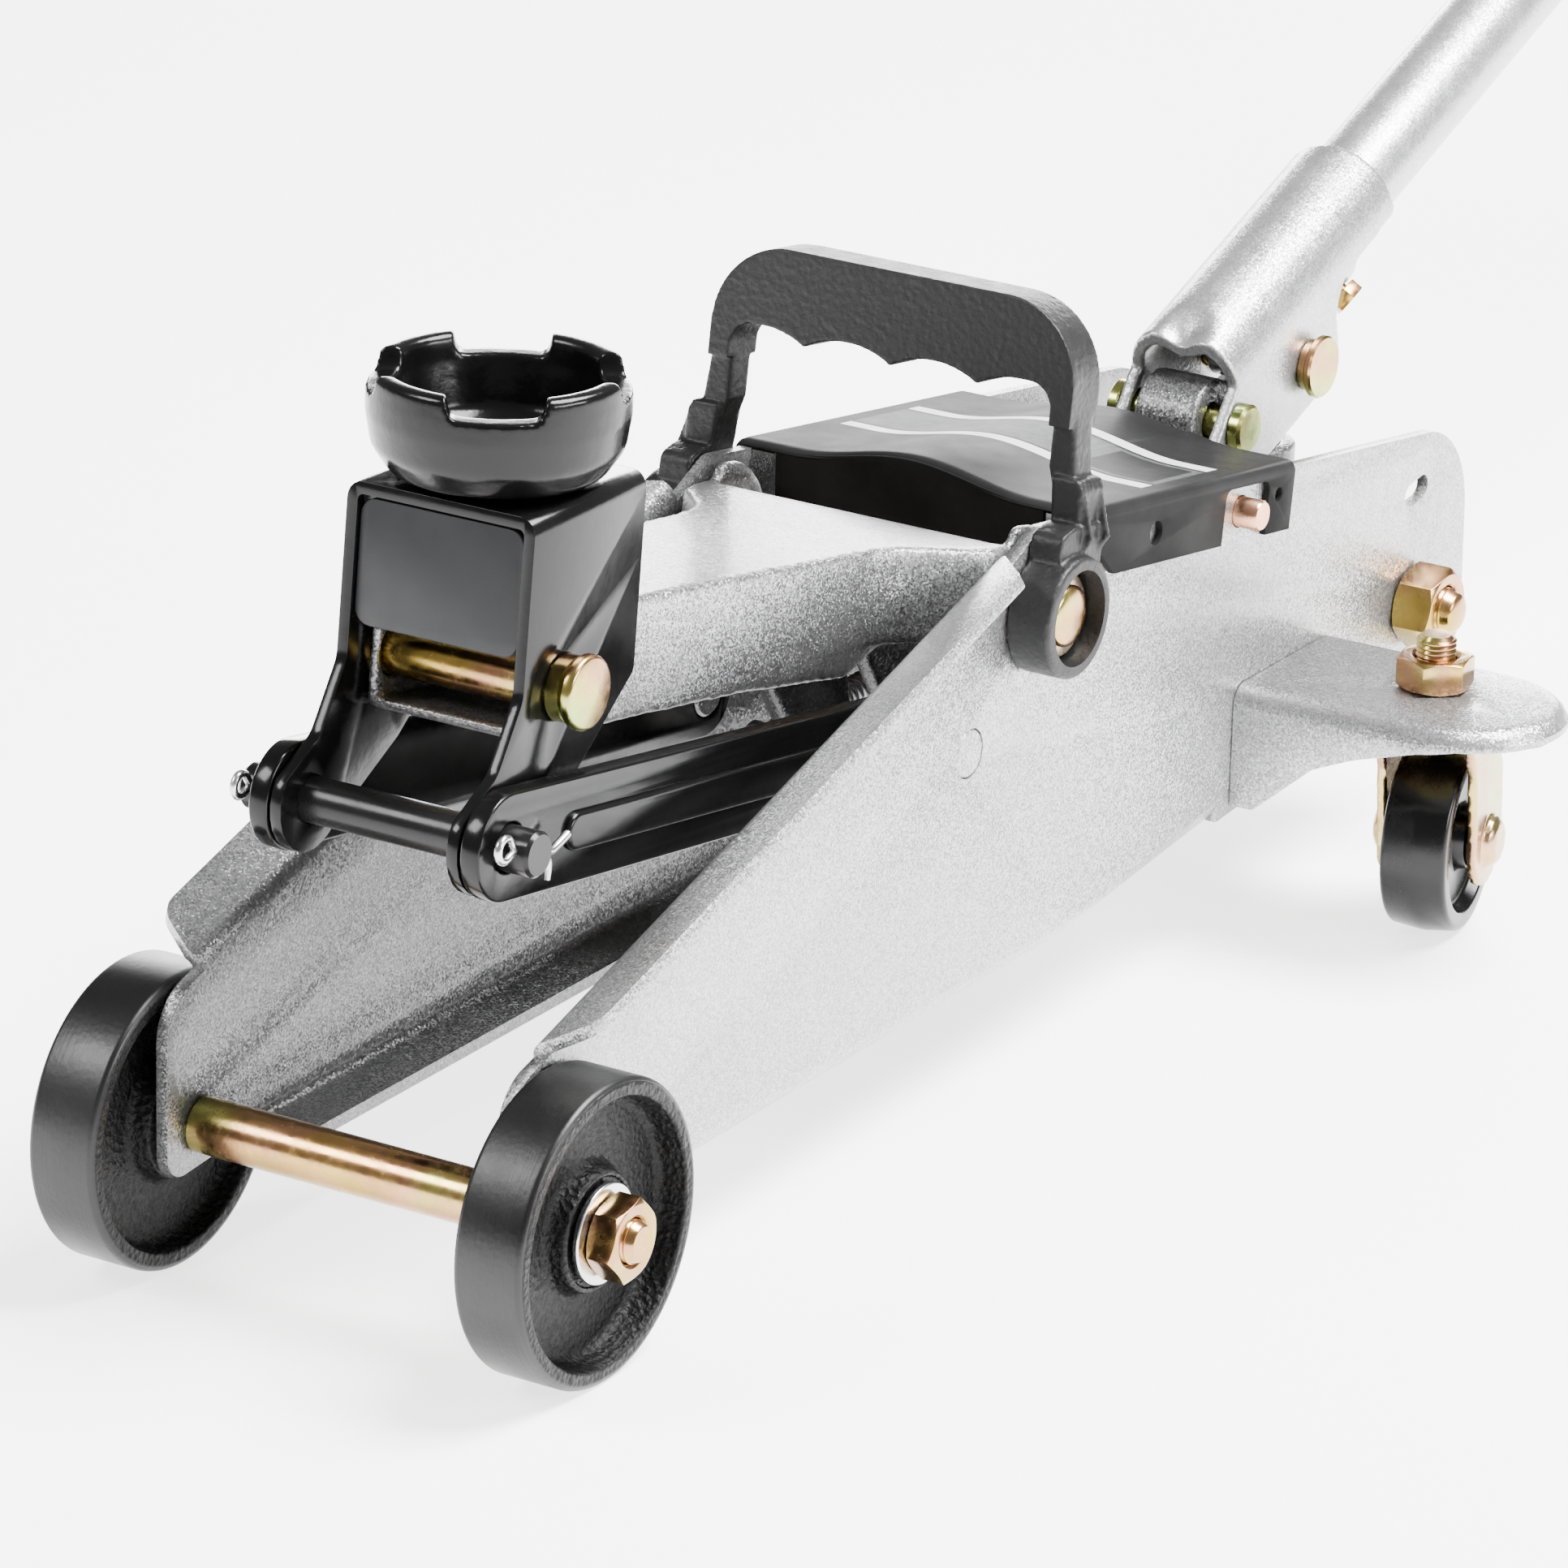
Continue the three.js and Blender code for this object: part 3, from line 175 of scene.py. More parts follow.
class Graph:
    """A short way to add and join shader nodes, in the object's own coordinates."""

    def __init__(self, name):
        self.material = new_material(name)
        self.tree = self.material.node_tree
        self.shader = self.tree.nodes["Principled BSDF"]
        self.where = self.add("ShaderNodeTexCoord").outputs["Object"]

    @classmethod
    def of(cls, material):
        """Goes on from a material that has been made already."""
        graph = cls.__new__(cls)
        graph.material = material
        graph.tree = material.node_tree
        graph.shader = graph.tree.nodes["Principled BSDF"]
        graph.where = graph.add("ShaderNodeTexCoord").outputs["Object"]
        return graph

    def add(self, kind, **settings):
        node = self.tree.nodes.new(kind)
        for key, value in settings.items():
            setattr(node, key, value)
        return node

    def plug(self, value, socket):
        if isinstance(value, bpy.types.NodeSocket):
            self.tree.links.new(value, socket)
        else:
            socket.default_value = value

    def set(self, **values):
        for key, value in values.items():
            self.plug(value, self.shader.inputs[key.replace("_", " ")])

    def scaled(self, x, y, z):
        node = self.add("ShaderNodeMapping")
        self.plug(self.where, node.inputs["Vector"])
        node.inputs["Scale"].default_value = (x, y, z)
        return node.outputs["Vector"]

    def noise(self, scale, detail=4, roughness=0.55, where=None, kind="Fac"):
        node = self.add("ShaderNodeTexNoise")
        self.plug(where or self.where, node.inputs["Vector"])
        node.inputs["Scale"].default_value = scale
        node.inputs["Detail"].default_value = detail
        node.inputs["Roughness"].default_value = roughness
        return node.outputs[kind]

    def cells(self, scale, kind="Color", where=None, feature="F1"):
        node = self.add("ShaderNodeTexVoronoi", feature=feature)
        self.plug(where or self.where, node.inputs["Vector"])
        node.inputs["Scale"].default_value = scale
        return node.outputs[kind]

    def remap(self, value, low, high, to_low=0.0, to_high=1.0):
        node = self.add("ShaderNodeMapRange")
        self.plug(value, node.inputs["Value"])
        limits = {"From Min": low, "From Max": high, "To Min": to_low, "To Max": to_high}
        for key, number in limits.items():
            node.inputs[key].default_value = number
        return node.outputs["Result"]

    def maths(self, operation, a, b):
        node = self.add("ShaderNodeMath", operation=operation)
        self.plug(a, node.inputs[0])
        self.plug(b, node.inputs[1])
        return node.outputs[0]

    def mix(self, factor, a, b, blend="MIX"):
        node = self.add("ShaderNodeMix", data_type="RGBA", blend_type=blend)
        self.plug(factor, node.inputs["Factor"])
        self.plug(a, node.inputs[6])
        self.plug(b, node.inputs[7])
        return node.outputs[2]

    def ramp(self, value, *stops):
        node = self.add("ShaderNodeValToRGB")
        self.plug(value, node.inputs["Fac"])
        elements = node.color_ramp.elements
        while len(elements) < len(stops):
            elements.new(0.5)
        for element, (position, colour) in zip(elements, stops):
            element.position = position
            element.color = (*colour, 1)
        return node.outputs["Color"]

    def greys(self, value, low, high, dark, pale):
        """A neutral colour that goes from dark to pale between two values."""
        return self.ramp(value, (low, (dark,) * 3), (high, (pale,) * 3))

    def axes(self):
        """The X, Y and Z of the place that is shaded."""
        node = self.add("ShaderNodeSeparateXYZ")
        self.plug(self.where, node.inputs[0])
        return node.outputs["X"], node.outputs["Y"], node.outputs["Z"]

    def scale_by(self, colour, amount):
        node = self.add("ShaderNodeVectorMath", operation="SCALE")
        self.plug(colour, node.inputs[0])
        self.plug(amount, node.inputs["Scale"])
        return node.outputs["Vector"]

    def channel(self, colour, name):
        node = self.add("ShaderNodeSeparateColor")
        self.plug(colour, node.inputs["Color"])
        return node.outputs[name]

    def bump(self, height, distance, strength=1.0, normal=None):
        node = self.add("ShaderNodeBump")
        self.plug(height, node.inputs["Height"])
        node.inputs["Distance"].default_value = distance
        node.inputs["Strength"].default_value = strength
        if normal:
            self.plug(normal, node.inputs["Normal"])
        return node.outputs["Normal"]


# ---------------------------------------------------------------- finishes
def with_painted_shade(g, amount):
    """Darkens the paint by a factor that changes over the surface, as painted shade."""
    paint = g.shader.inputs["Base Color"].links[0].from_socket
    g.set(Base_Color=g.scale_by(paint, amount))
    return g.material


def chassis_paint(name):
    """Silver paint with painted shade on the faces turned to the inside of the chassis."""
    g = Graph.of(silver_paint(name))
    aside = g.maths("ABSOLUTE", g.axes()[1], 0)
    cloudy = g.maths("ADD", aside, g.remap(g.noise(30, 4), 0.3, 0.7, -0.4 * MM, 0.4 * MM))
    # painted shade: faces nearer the middle than about 44.2 mm are at half brightness, full at 46 mm, with a
    # cloudy edge
    return with_painted_shade(g, g.remap(cloudy, 44.2 * MM, 46.0 * MM, 0.5, 1.0))


def arm_paint(name):
    """The arm's silver paint with painted shade: darker towards its lower edge and, a little, on its top
    face.
    """
    g = Graph.of(silver_paint(name, 0.42, 1.15))
    x, _, z = g.axes()
    across = g.maths("MULTIPLY", g.maths("SUBTRACT", x, PIVOT_A.x), math.sin(ARM_TILT))
    upward = g.maths("MULTIPLY", g.maths("SUBTRACT", z, PIVOT_A.z), math.cos(ARM_TILT))
    height = g.maths("SUBTRACT", upward, across)
    # painted shade: the arm darkens from the top of its side down to its lower edge, and its top face is at
    # half brightness
    cloudy = g.maths("ADD", height, g.remap(g.noise(40, 4), 0.3, 0.7, -1.5 * MM, 1.5 * MM))
    top_face_shade = g.remap(height, ARM_TOP - 1.5 * MM, ARM_TOP - 0.3 * MM, 1.0, 0.5)
    return with_painted_shade(g, g.maths("MULTIPLY", top_face_shade, g.remap(cloudy, -16 * MM, 12 * MM, 0.2, 1.0)))


def silver_paint(name, shade=0.36, sparkle=1.0):
    """Metallic silver paint: flakes of many brightnesses under a thin clear coat."""
    g = Graph(name)
    flakes = g.cells(2600)
    flake_light = g.remap(g.channel(flakes, "Red"), 0, 1, 1 - 0.42 * sparkle, 1 + 0.30 * sparkle)
    large = g.channel(g.cells(1150), "Green")
    large_light = g.remap(large, 0, 1, 1 - 0.10 * sparkle, 1 + 0.08 * sparkle)
    cloud = g.remap(g.noise(9, 5), 0.3, 0.7, 0.94, 1.04)
    light = g.maths("MULTIPLY", g.maths("MULTIPLY", flake_light, large_light), cloud)
    g.set(Base_Color=g.scale_by((shade, shade * 1.003, shade * 1.012), light), Metallic=0.82)
    g.set(Roughness=g.remap(g.noise(160, 3), 0.3, 0.7, 0.33, 0.42))
    g.shader.inputs["Coat Weight"].default_value = 0.25
    g.shader.inputs["Coat Roughness"].default_value = 0.18
    # each flake tips the light its own way
    tip = g.add("ShaderNodeVectorMath", operation="SUBTRACT")
    g.plug(flakes, tip.inputs[0])
    tip.inputs[1].default_value = (0.5, 0.5, 0.5)
    lean = g.scale_by(tip.outputs["Vector"], 0.42 * sparkle)
    geometry = g.add("ShaderNodeNewGeometry")
    total = g.add("ShaderNodeVectorMath", operation="ADD")
    g.plug(geometry.outputs["Normal"], total.inputs[0])
    g.plug(lean, total.inputs[1])
    unit = g.add("ShaderNodeVectorMath", operation="NORMALIZE")
    g.plug(total.outputs["Vector"], unit.inputs[0])
    g.set(Normal=g.bump(g.noise(420, 2), 0.00006, 0.5, unit.outputs["Vector"]))
    return g.material


def gloss_black(name, shade=0.0022, roughness=0.13, peel=0.00008, dust=True):
    """Black paint with an orange-peel skin, faint dust and slightly greyer worn spots."""
    g = Graph(name)
    cloud = g.noise(35, 6)
    g.set(Base_Color=g.greys(cloud, 0.3, 0.75, shade * 0.8, shade * 1.7))
    low, high = roughness, roughness + (0.12 if dust else 0.04)
    g.set(Roughness=g.remap(g.noise(60, 6, 0.65), 0.35, 0.75, low, high))
    g.shader.inputs["Specular IOR Level"].default_value = 0.22
    g.set(Normal=g.bump(g.noise(230, 3, 0.5), peel, 0.6))
    return g.material


def zinc(name, gold=1.0, roughness=0.2, axis=(1, 1, 1)):
    """Chromated zinc: a pale metal with drifting gold, rose and green interference colours."""
    g = Graph(name)
    drift = g.noise(24, 3, 0.6, g.scaled(*axis))
    film = g.ramp(
        drift,
        (0.20, (0.46, 0.35, 0.09)),
        (0.38, (0.45, 0.30, 0.07)),
        (0.47, (0.48, 0.25, 0.13)),
        (0.55, (0.46, 0.37, 0.11)),
        (0.64, (0.33, 0.41, 0.13)),
        (0.75, (0.47, 0.33, 0.08)),
    )
    colour = g.mix(1 - gold, film, (0.62, 0.63, 0.65, 1))
    stain = g.remap(g.noise(90, 6, 0.7), 0.4, 0.8, 1.0, 0.72)
    g.set(Base_Color=g.scale_by(colour, stain), Metallic=1.0)
    g.set(Roughness=g.remap(g.noise(300, 4), 0.3, 0.7, roughness * 0.75, roughness * 1.5))
    g.set(Normal=g.bump(g.noise(700, 3), 0.00003, 0.5))
    return g.material


def cast_iron(name):
    """Black painted casting: coarse sand grain in the web, turned and polished tread with fine rings."""
    g = Graph(name)
    x, _, z = g.axes()
    dx = g.maths("SUBTRACT", x, AXLE.x)
    dz = g.maths("SUBTRACT", z, AXLE.z)
    radius = g.maths("SQRT", g.maths("ADD", g.maths("MULTIPLY", dx, dx), g.maths("MULTIPLY", dz, dz)), 0)
    tread = g.remap(radius, 33.2 * MM, 34.0 * MM)
    smooth = g.remap(g.noise(40, 5), 0.3, 0.75, 0.30, 0.46)
    rough = g.remap(g.noise(500, 3), 0.3, 0.7, 0.34, 0.55)
    both = g.add("ShaderNodeMix", data_type="FLOAT")
    g.plug(tread, both.inputs["Factor"])
    g.plug(rough, both.inputs[2])
    g.plug(smooth, both.inputs[3])
    g.set(Base_Color=g.ramp(g.noise(70, 6), (0.3, (0.0010, 0.0010, 0.0011)), (0.8, (0.0036, 0.0036, 0.0038))))
    g.set(Roughness=both.outputs[0])
    g.plug(g.remap(tread, 0, 1, 0.14, 0.36), g.shader.inputs["Specular IOR Level"])
    grain = g.maths("ADD", g.noise(900, 4, 0.6), g.maths("MULTIPLY", g.cells(650, "Distance"), 0.8))
    sand = g.maths("MULTIPLY", grain, g.remap(radius, 33.2 * MM, 34.0 * MM, 1.0, 0.06))
    rings = g.noise(60, 3, 0.6, g.scaled(0.6, 26, 0.6))
    height = g.maths("ADD", sand, g.maths("MULTIPLY", rings, g.remap(tread, 0, 1, 0, 0.10)))
    g.set(Normal=g.bump(height, 0.0005, 0.85))
    return g.material


def pebble_plastic(name, shade=0.0055, scale=620, height=0.00022, roughness=0.42):
    """Moulded plastic with a fine pebble grain."""
    g = Graph(name)
    g.set(Base_Color=g.greys(g.noise(25, 4), 0.3, 0.75, shade * 0.85, shade * 1.35))
    pebbles = g.cells(scale, "Distance", feature="SMOOTH_F1")
    g.set(Roughness=g.remap(g.noise(200, 3), 0.3, 0.7, roughness, roughness + 0.1))
    g.shader.inputs["Specular IOR Level"].default_value = 0.3
    g.set(Normal=g.bump(g.maths("ADD", pebbles, g.noise(scale * 1.3, 3)), height, 0.7))
    return g.material


def smooth_plastic(name, shade=0.0012):
    g = Graph(name)
    g.set(Base_Color=g.greys(g.noise(40, 4), 0.3, 0.75, shade * 0.8, shade * 1.5))
    g.set(Roughness=g.remap(g.noise(90, 6, 0.7), 0.35, 0.75, 0.2, 0.34))
    g.shader.inputs["Specular IOR Level"].default_value = 0.25
    g.set(Normal=g.bump(g.noise(300, 3), 0.00004, 0.5))
    return g.material


def steel(name, shade=0.5, roughness=0.3, streak=(1, 30, 1)):
    """Oiled bare steel with fine machining lines."""
    g = Graph(name)
    lines = g.noise(50, 5, 0.7, g.scaled(*streak))
    bright = (shade * 1.1, shade * 1.1, shade * 1.13)
    g.set(Base_Color=g.ramp(lines, (0.3, (shade * 0.8,) * 3), (0.75, bright)))
    g.set(Metallic=1.0, Roughness=g.remap(g.noise(120, 4), 0.3, 0.7, roughness * 0.8, roughness * 1.3))
    g.set(Normal=g.bump(lines, 0.00004, 0.5))
    return g.material


def copper(name):
    g = Graph(name)
    g.set(Base_Color=g.ramp(g.noise(160, 4), (0.3, (0.62, 0.30, 0.17)), (0.75, (0.80, 0.46, 0.30))))
    g.set(Metallic=1.0, Roughness=g.remap(g.noise(260, 4), 0.3, 0.7, 0.2, 0.34))
    g.set(Normal=g.bump(g.noise(500, 3), 0.00004, 0.5))
    return g.material


def labelled_black(name):
    """The cover's black paint with a plain label across it: two pale stripes and a greyish field."""
    material = gloss_black(name, 0.012, 0.34, 0.00003)
    g = Graph.of(material)
    g.shader.inputs["Specular IOR Level"].default_value = 0.05
    g.shader.inputs["IOR"].default_value = 1.15
    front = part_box("cover")[1].x
    x, y, _ = g.axes()
    behind = g.maths("SUBTRACT", front, x)
    aside = g.maths("ABSOLUTE", y, 0)

    def within(value, low, high):
        above = g.maths("GREATER_THAN", value, low * MM)
        return g.maths("MULTIPLY", above, g.maths("LESS_THAN", value, high * MM))

    width = g.maths("LESS_THAN", aside, 42 * MM)
    stripes = g.maths("ADD", within(behind, 38, 43.2), within(behind, 70, 75.2))
    patch = g.maths("MULTIPLY", within(behind, 46, 67), within(y, 20, 40))
    field = g.maths("SUBTRACT", within(behind, 44.6, 68.6), patch)
    paint = g.shader.inputs["Base Color"].links[0].from_socket
    worn = g.ramp(g.noise(420, 4), (0.35, (0.055, 0.056, 0.058)), (0.7, (0.085, 0.086, 0.088)))
    pale = g.ramp(g.noise(300, 4), (0.35, (0.50, 0.50, 0.505)), (0.7, (0.60, 0.60, 0.605)))
    colour = g.mix(g.maths("MULTIPLY", width, field), paint, worn)
    g.set(Base_Color=g.mix(g.maths("MULTIPLY", width, stripes), colour, pale))
    return material


def satin_plate(name):
    g = Graph(name)
    g.set(Base_Color=g.ramp(g.noise(30, 5), (0.3, (0.009, 0.0092, 0.010)), (0.75, (0.014, 0.0142, 0.0155))))
    g.set(Roughness=g.remap(g.noise(140, 4), 0.3, 0.7, 0.42, 0.52))
    g.shader.inputs["Specular IOR Level"].default_value = 0.3
    g.set(Normal=g.bump(g.noise(800, 3), 0.00003, 0.5))
    return g.material


def make_finishes():
    return {
        "silver_paint": chassis_paint("silver_paint"),
        "arm_silver_paint": arm_paint("arm_silver_paint"),
        "socket_silver_paint": silver_paint("socket_silver_paint", 0.42, 0.5),
        "tube_silver_paint": silver_paint("tube_silver_paint", 0.46, 0.35),
        "yellow_zinc": zinc("yellow_zinc", axis=(1, 0.6, 1)),
        "washer_zinc": zinc("washer_zinc", 0.7, 0.24),
        "fork_zinc": zinc("fork_zinc", 0.9, 0.22),
        "white_zinc": zinc("white_zinc", 0.05, 0.2),
        "bare_steel": steel("bare_steel"),
        "spring_steel": steel("spring_steel", 0.32, 0.35, (1, 1, 1)),
        "cast_iron": cast_iron("cast_iron"),
        "black_paint": gloss_black("black_paint"),
        "black_pin": gloss_black("black_pin", 0.006, 0.2),
        "cover_black": labelled_black("cover_black"),
        "saddle_black": gloss_black("saddle_black", 0.002, 0.15, 0.0002),
        "dark_plate": satin_plate("dark_plate"),
        "textured_plastic": pebble_plastic("textured_plastic"),
        "grip_plastic": pebble_plastic("grip_plastic", 0.005, 900, 0.0001, 0.5),
        "caster_plastic": smooth_plastic("caster_plastic"),
        "plug_rubber": smooth_plastic("plug_rubber", 0.016),
        "copper_pin": copper("copper_pin"),
    }


FINISHES = make_finishes()


# ---------------------------------------------------------------- pieces
def link_mesh(name, bm):
    data = bpy.data.meshes.new(name)
    bm.normal_update()
    bm.to_mesh(data)
    bm.free()
    return linked(name, data)


def apply_modifiers(obj):
    bpy.context.view_layer.update()
    evaluated = obj.evaluated_get(bpy.context.evaluated_depsgraph_get())
    data = bpy.data.meshes.new_from_object(evaluated)
    obj.modifiers.clear()
    obj.data = data
    return obj


CAST_ANGLE = 80  # castings are shaded smooth over all but their sharpest edges, in degrees


def smooth_by_angle(obj, degrees=35):
    data = obj.data
    data.polygons.foreach_set("use_smooth", [True] * len(data.polygons))
    data.set_sharp_from_angle(angle=math.radians(degrees))


def stand_for(obj, node, smooth=35):
    """obj is shown in place of the CAD node, on its body and in its finish."""
    smooth_by_angle(obj, smooth)
    obj.data.materials.clear()
    obj.data.materials.append(FINISHES[SLOT_OF[node]])
    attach(obj, BODY_OF[node])
    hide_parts(node)
    return obj


def copied(node):
    """A welded copy of a CAD node's mesh, with its flat faces made whole."""
    bm = bmesh.new()
    bm.from_mesh(NODES[node].data)
    bmesh.ops.remove_doubles(bm, verts=bm.verts, dist=1e-6)
    bmesh.ops.dissolve_limit(bm, angle_limit=math.radians(0.6), verts=bm.verts, edges=bm.edges)
    return link_mesh(node + "_piece", bm)


# ---------------------------------------------------------------- outlines
def arc(x, y, radius, start, end, steps):
    """Points on a circle, from one angle to another in degrees."""
    angles = [math.radians(start + (end - start) * k / steps) for k in range(steps + 1)]
    return [(x + radius * math.cos(a), y + radius * math.sin(a)) for a in angles]


def rounded(corners, steps=8):
    """A closed outline with rounded corners: each corner is x, y and its radius, or x, y alone."""
    points = []
    for i, corner in enumerate(corners):
        here = Vector(corner[:2])
        radius = corner[2] if len(corner) > 2 else 0
        if not radius:
            points.append(tuple(here))
            continue
        back = (Vector(corners[i - 1][:2]) - here).normalized()
        ahead = (Vector(corners[(i + 1) % len(corners)][:2]) - here).normalized()
        half = math.acos(max(-1, min(1, back.dot(ahead)))) / 2
        middle = here + (back + ahead).normalized() * (radius / math.sin(half))
        reach = radius / math.tan(half)
        start = here + back * reach - middle
        end = here + ahead * reach - middle
        first = math.atan2(start.y, start.x)
        turn = (math.atan2(end.y, end.x) - first + math.pi) % (2 * math.pi) - math.pi
        for k in range(steps + 1):
            angle = first + turn * k / steps
            points.append((middle.x + radius * math.cos(angle), middle.y + radius * math.sin(angle)))
    return points


# ---------------------------------------------------------------- solids, drawn in millimetres
def place(obj, at, lean=0.0):
    """Turns a piece drawn about its own origin back by an angle about Y, and moves it to a point."""
    obj.data.transform(Matrix.Translation(at) @ Matrix.Rotation(-lean, 4, "Y"))
    return obj


def swung(obj, at, turn=0.0):
    """Turns a piece drawn about its own origin about Z, and moves it to a point."""
    obj.data.transform(Matrix.Translation(at) @ Matrix.Rotation(turn, 4, "Z"))
    return obj


def lathe(name, profile, steps=96, axis="Y"):
    """A closed profile of (radius, along) in millimetres, turned about the axis through the origin."""
    bm = bmesh.new()
    rings = []
    for radius, along in profile:
        if radius < 1e-6:
            rings.append([bm.verts.new((0, 0, along * MM))] * steps)
            continue
        angles = [2 * math.pi * k / steps for k in range(steps)]
        rings.append(
            [bm.verts.new((radius * MM * math.cos(a), radius * MM * math.sin(a), along * MM)) for a in angles]
        )
    for here, there in zip(rings, rings[1:] + rings[:1]):
        for k in range(steps):
            quad = [here[k], here[k - 1], there[k - 1], there[k]]
            corners = list(dict.fromkeys(quad))
            if len(corners) > 2:
                bm.faces.new(corners)
    bmesh.ops.recalc_face_normals(bm, faces=bm.faces)
    obj = link_mesh(name, bm)
    turn = {"Y": Matrix.Rotation(-math.pi / 2, 4, "X"), "X": Matrix.Rotation(math.pi / 2, 4, "Y")}
    if axis in turn:
        obj.data.transform(turn[axis])
    return obj


def drill(radius, low, high, axis="Y", steps=48):
    """A rod about the origin, to cut a hole with."""
    return lathe("drill", [(0, low), (radius, low), (radius, high), (0, high)], steps, axis)


def prism(name, points, low, high, plane="XZ"):
    """An outline in millimetres pulled from low to high: XZ along Y, XY along Z, YZ along X."""
    lift = {
        "XZ": lambda a, b, c: (a, c, b),
        "XY": lambda a, b, c: (a, b, c),
        "YZ": lambda a, b, c: (c, a, b),
    }[plane]
    bm = bmesh.new()
    ends = [[bm.verts.new([v * MM for v in lift(a, b, c)]) for a, b in points] for c in (low, high)]
    for end in ends:
        bm.faces.new(end)
    for k in range(len(points)):
        bm.faces.new([ends[0][k - 1], ends[0][k], ends[1][k], ends[1][k - 1]])
    bmesh.ops.recalc_face_normals(bm, faces=bm.faces)
    return link_mesh(name, bm)


def combine(obj, *others, operation="UNION"):
    """Joins the others to obj, or cuts them out of it, and removes them."""
    for other in others:
        modifier = obj.modifiers.new("boolean", "BOOLEAN")
        modifier.operation = operation
        modifier.solver = "EXACT"
        modifier.object = other
        apply_modifiers(obj)
        bpy.data.objects.remove(other)
    return obj


def cut(obj, *others):
    return combine(obj, *others, operation="DIFFERENCE")


def tidy(obj):
    """Welds what a boolean leaves and makes flat faces whole again."""
    bm = bmesh.new()
    bm.from_mesh(obj.data)
    bmesh.ops.remove_doubles(bm, verts=bm.verts, dist=2e-6)
    bmesh.ops.dissolve_limit(bm, angle_limit=math.radians(0.5), verts=bm.verts, edges=bm.edges)
    bm.to_mesh(obj.data)
    bm.free()
    return obj


def bevelled(obj, width=0.4, steps=3, angle=35):
    bevel = obj.modifiers.new("bevel", "BEVEL")
    bevel.width = width * MM
    bevel.segments = steps
    bevel.limit_method = "ANGLE"
    bevel.angle_limit = math.radians(angle)
    return apply_modifiers(obj)


def relaxed(obj, voxel=0.8, passes=8):
    """Fuses the piece into one skin and rounds its edges, as casting, moulding or welding does."""
    remesh = obj.modifiers.new("remesh", "REMESH")
    remesh.mode = "VOXEL"
    remesh.voxel_size = voxel * MM
    smooth = obj.modifiers.new("smooth", "SMOOTH")
    smooth.factor = 0.5
    smooth.iterations = passes
    return apply_modifiers(obj)


def eased(node, width=0.35, segments=2, angle=40):
    """The node with its sharp edges rounded to a small radius, given in millimetres."""
    return stand_for(bevelled(copied(node), width, segments, angle), node)


def melted(node, voxel=0.8, passes=6):
    """The node as one cast or moulded skin, with all its edges round."""
    return stand_for(relaxed(copied(node), voxel, passes), node, CAST_ANGLE)


def mirrored(obj, name):
    """A copy on the other side of the middle plane."""
    data = obj.data.copy()
    data.transform(Matrix.Scale(-1, 4, (0, 1, 0)))
    data.flip_normals()
    return linked(name, data)


def pair(obj, stem, smooth=35):
    """The piece stands for the left node, and its mirror image for the right one."""
    twin = mirrored(obj, stem + "_right_piece")
    stand_for(obj, stem + "_left", smooth)
    stand_for(twin, stem + "_right", smooth)


# ---------------------------------------------------------------- wheels, nuts and pins
def front_wheels():
    """Cast wheels: turned tread with a soft edge, a lip, a dished web and a boss."""
    inner, outer = (centre("front_wheel_left").y / MM + k * 8.75 for k in (-1, 1))
    radius, lip = 35, 30.8
    web_in, web_out = inner + 5, inner + 10.2
    profile = rounded([
        (5.4, inner), (13.5, inner, 0.8), (15, web_in, 2.5), (lip - 1.4, web_in, 2.5), (lip, inner, 0.8),
        (radius, inner, 1.6), (radius, outer, 1.6), (lip, outer, 0.9), (lip - 1.2, web_out + 0.4, 2.6),
        (14.8, web_out, 2.6), (13.6, outer - 2.5, 1.0), (12.4, outer - 2.5, 0.4), (12.4, outer - 3.1, 0.4),
        (5.4, outer - 3.1),
    ])
    wheel = lathe("front_wheel_left_piece", profile, 144)
    pair(place(wheel, AXLE), "front_wheel", 50)


def hex_nut(name, across, low, high, bore, chamfer=0.14):
    """A nut along Z about the origin: a hexagon with both ends turned down to round corners."""
    flats = [(across / math.sqrt(3) * x, across / math.sqrt(3) * y) for x, y in arc(0, 0, 1, 0, 300, 5)]
    nut = prism(name, flats, low, high, "XY")
    corner = across / math.sqrt(3)
    drop = (corner - across / 2) * 0.75
    cone = lathe(
        "cone",
        [(0, low), (across / 2 - 0.2, low), (corner + 0.3, low + drop), (corner + 0.3, high - drop),
         (across / 2 - 0.2, high), (0, high)],
        72, "Z",
    )
    combine(nut, cone, operation="INTERSECT")
    rim = [(bore, low - 1), (bore, high - 0.8), (bore + 1, high + 0.2), (0, high + 0.2), (0, low - 1)]
    cut(nut, lathe("bore", rim, 48, "Z"))
    return bevelled(tidy(nut), 0.25, 2, 20)


def along_y(obj, at, turn=0.0):
    """Lays a piece drawn along Z on the Y axis, towards +Y, after turning it about itself."""
    obj.data.transform(
        Matrix.Translation(at) @ Matrix.Rotation(-math.pi / 2, 4, "X") @ Matrix.Rotation(turn, 4, "Z")
    )
    return obj


def threads(low, high, radius, pitch=1.25, depth=0.45):
    """The profile points of a run of thread, as rings."""
    turns = int((high - low) / pitch)
    points = []
    for k in range(turns):
        start = low + k * pitch
        points.append((radius - depth, start + 0.1))
        points += [(radius, start + 0.45 * pitch), (radius, start + 0.6 * pitch)]
    return points + [(radius - depth, low + turns * pitch), (radius - depth - 0.3, high)]


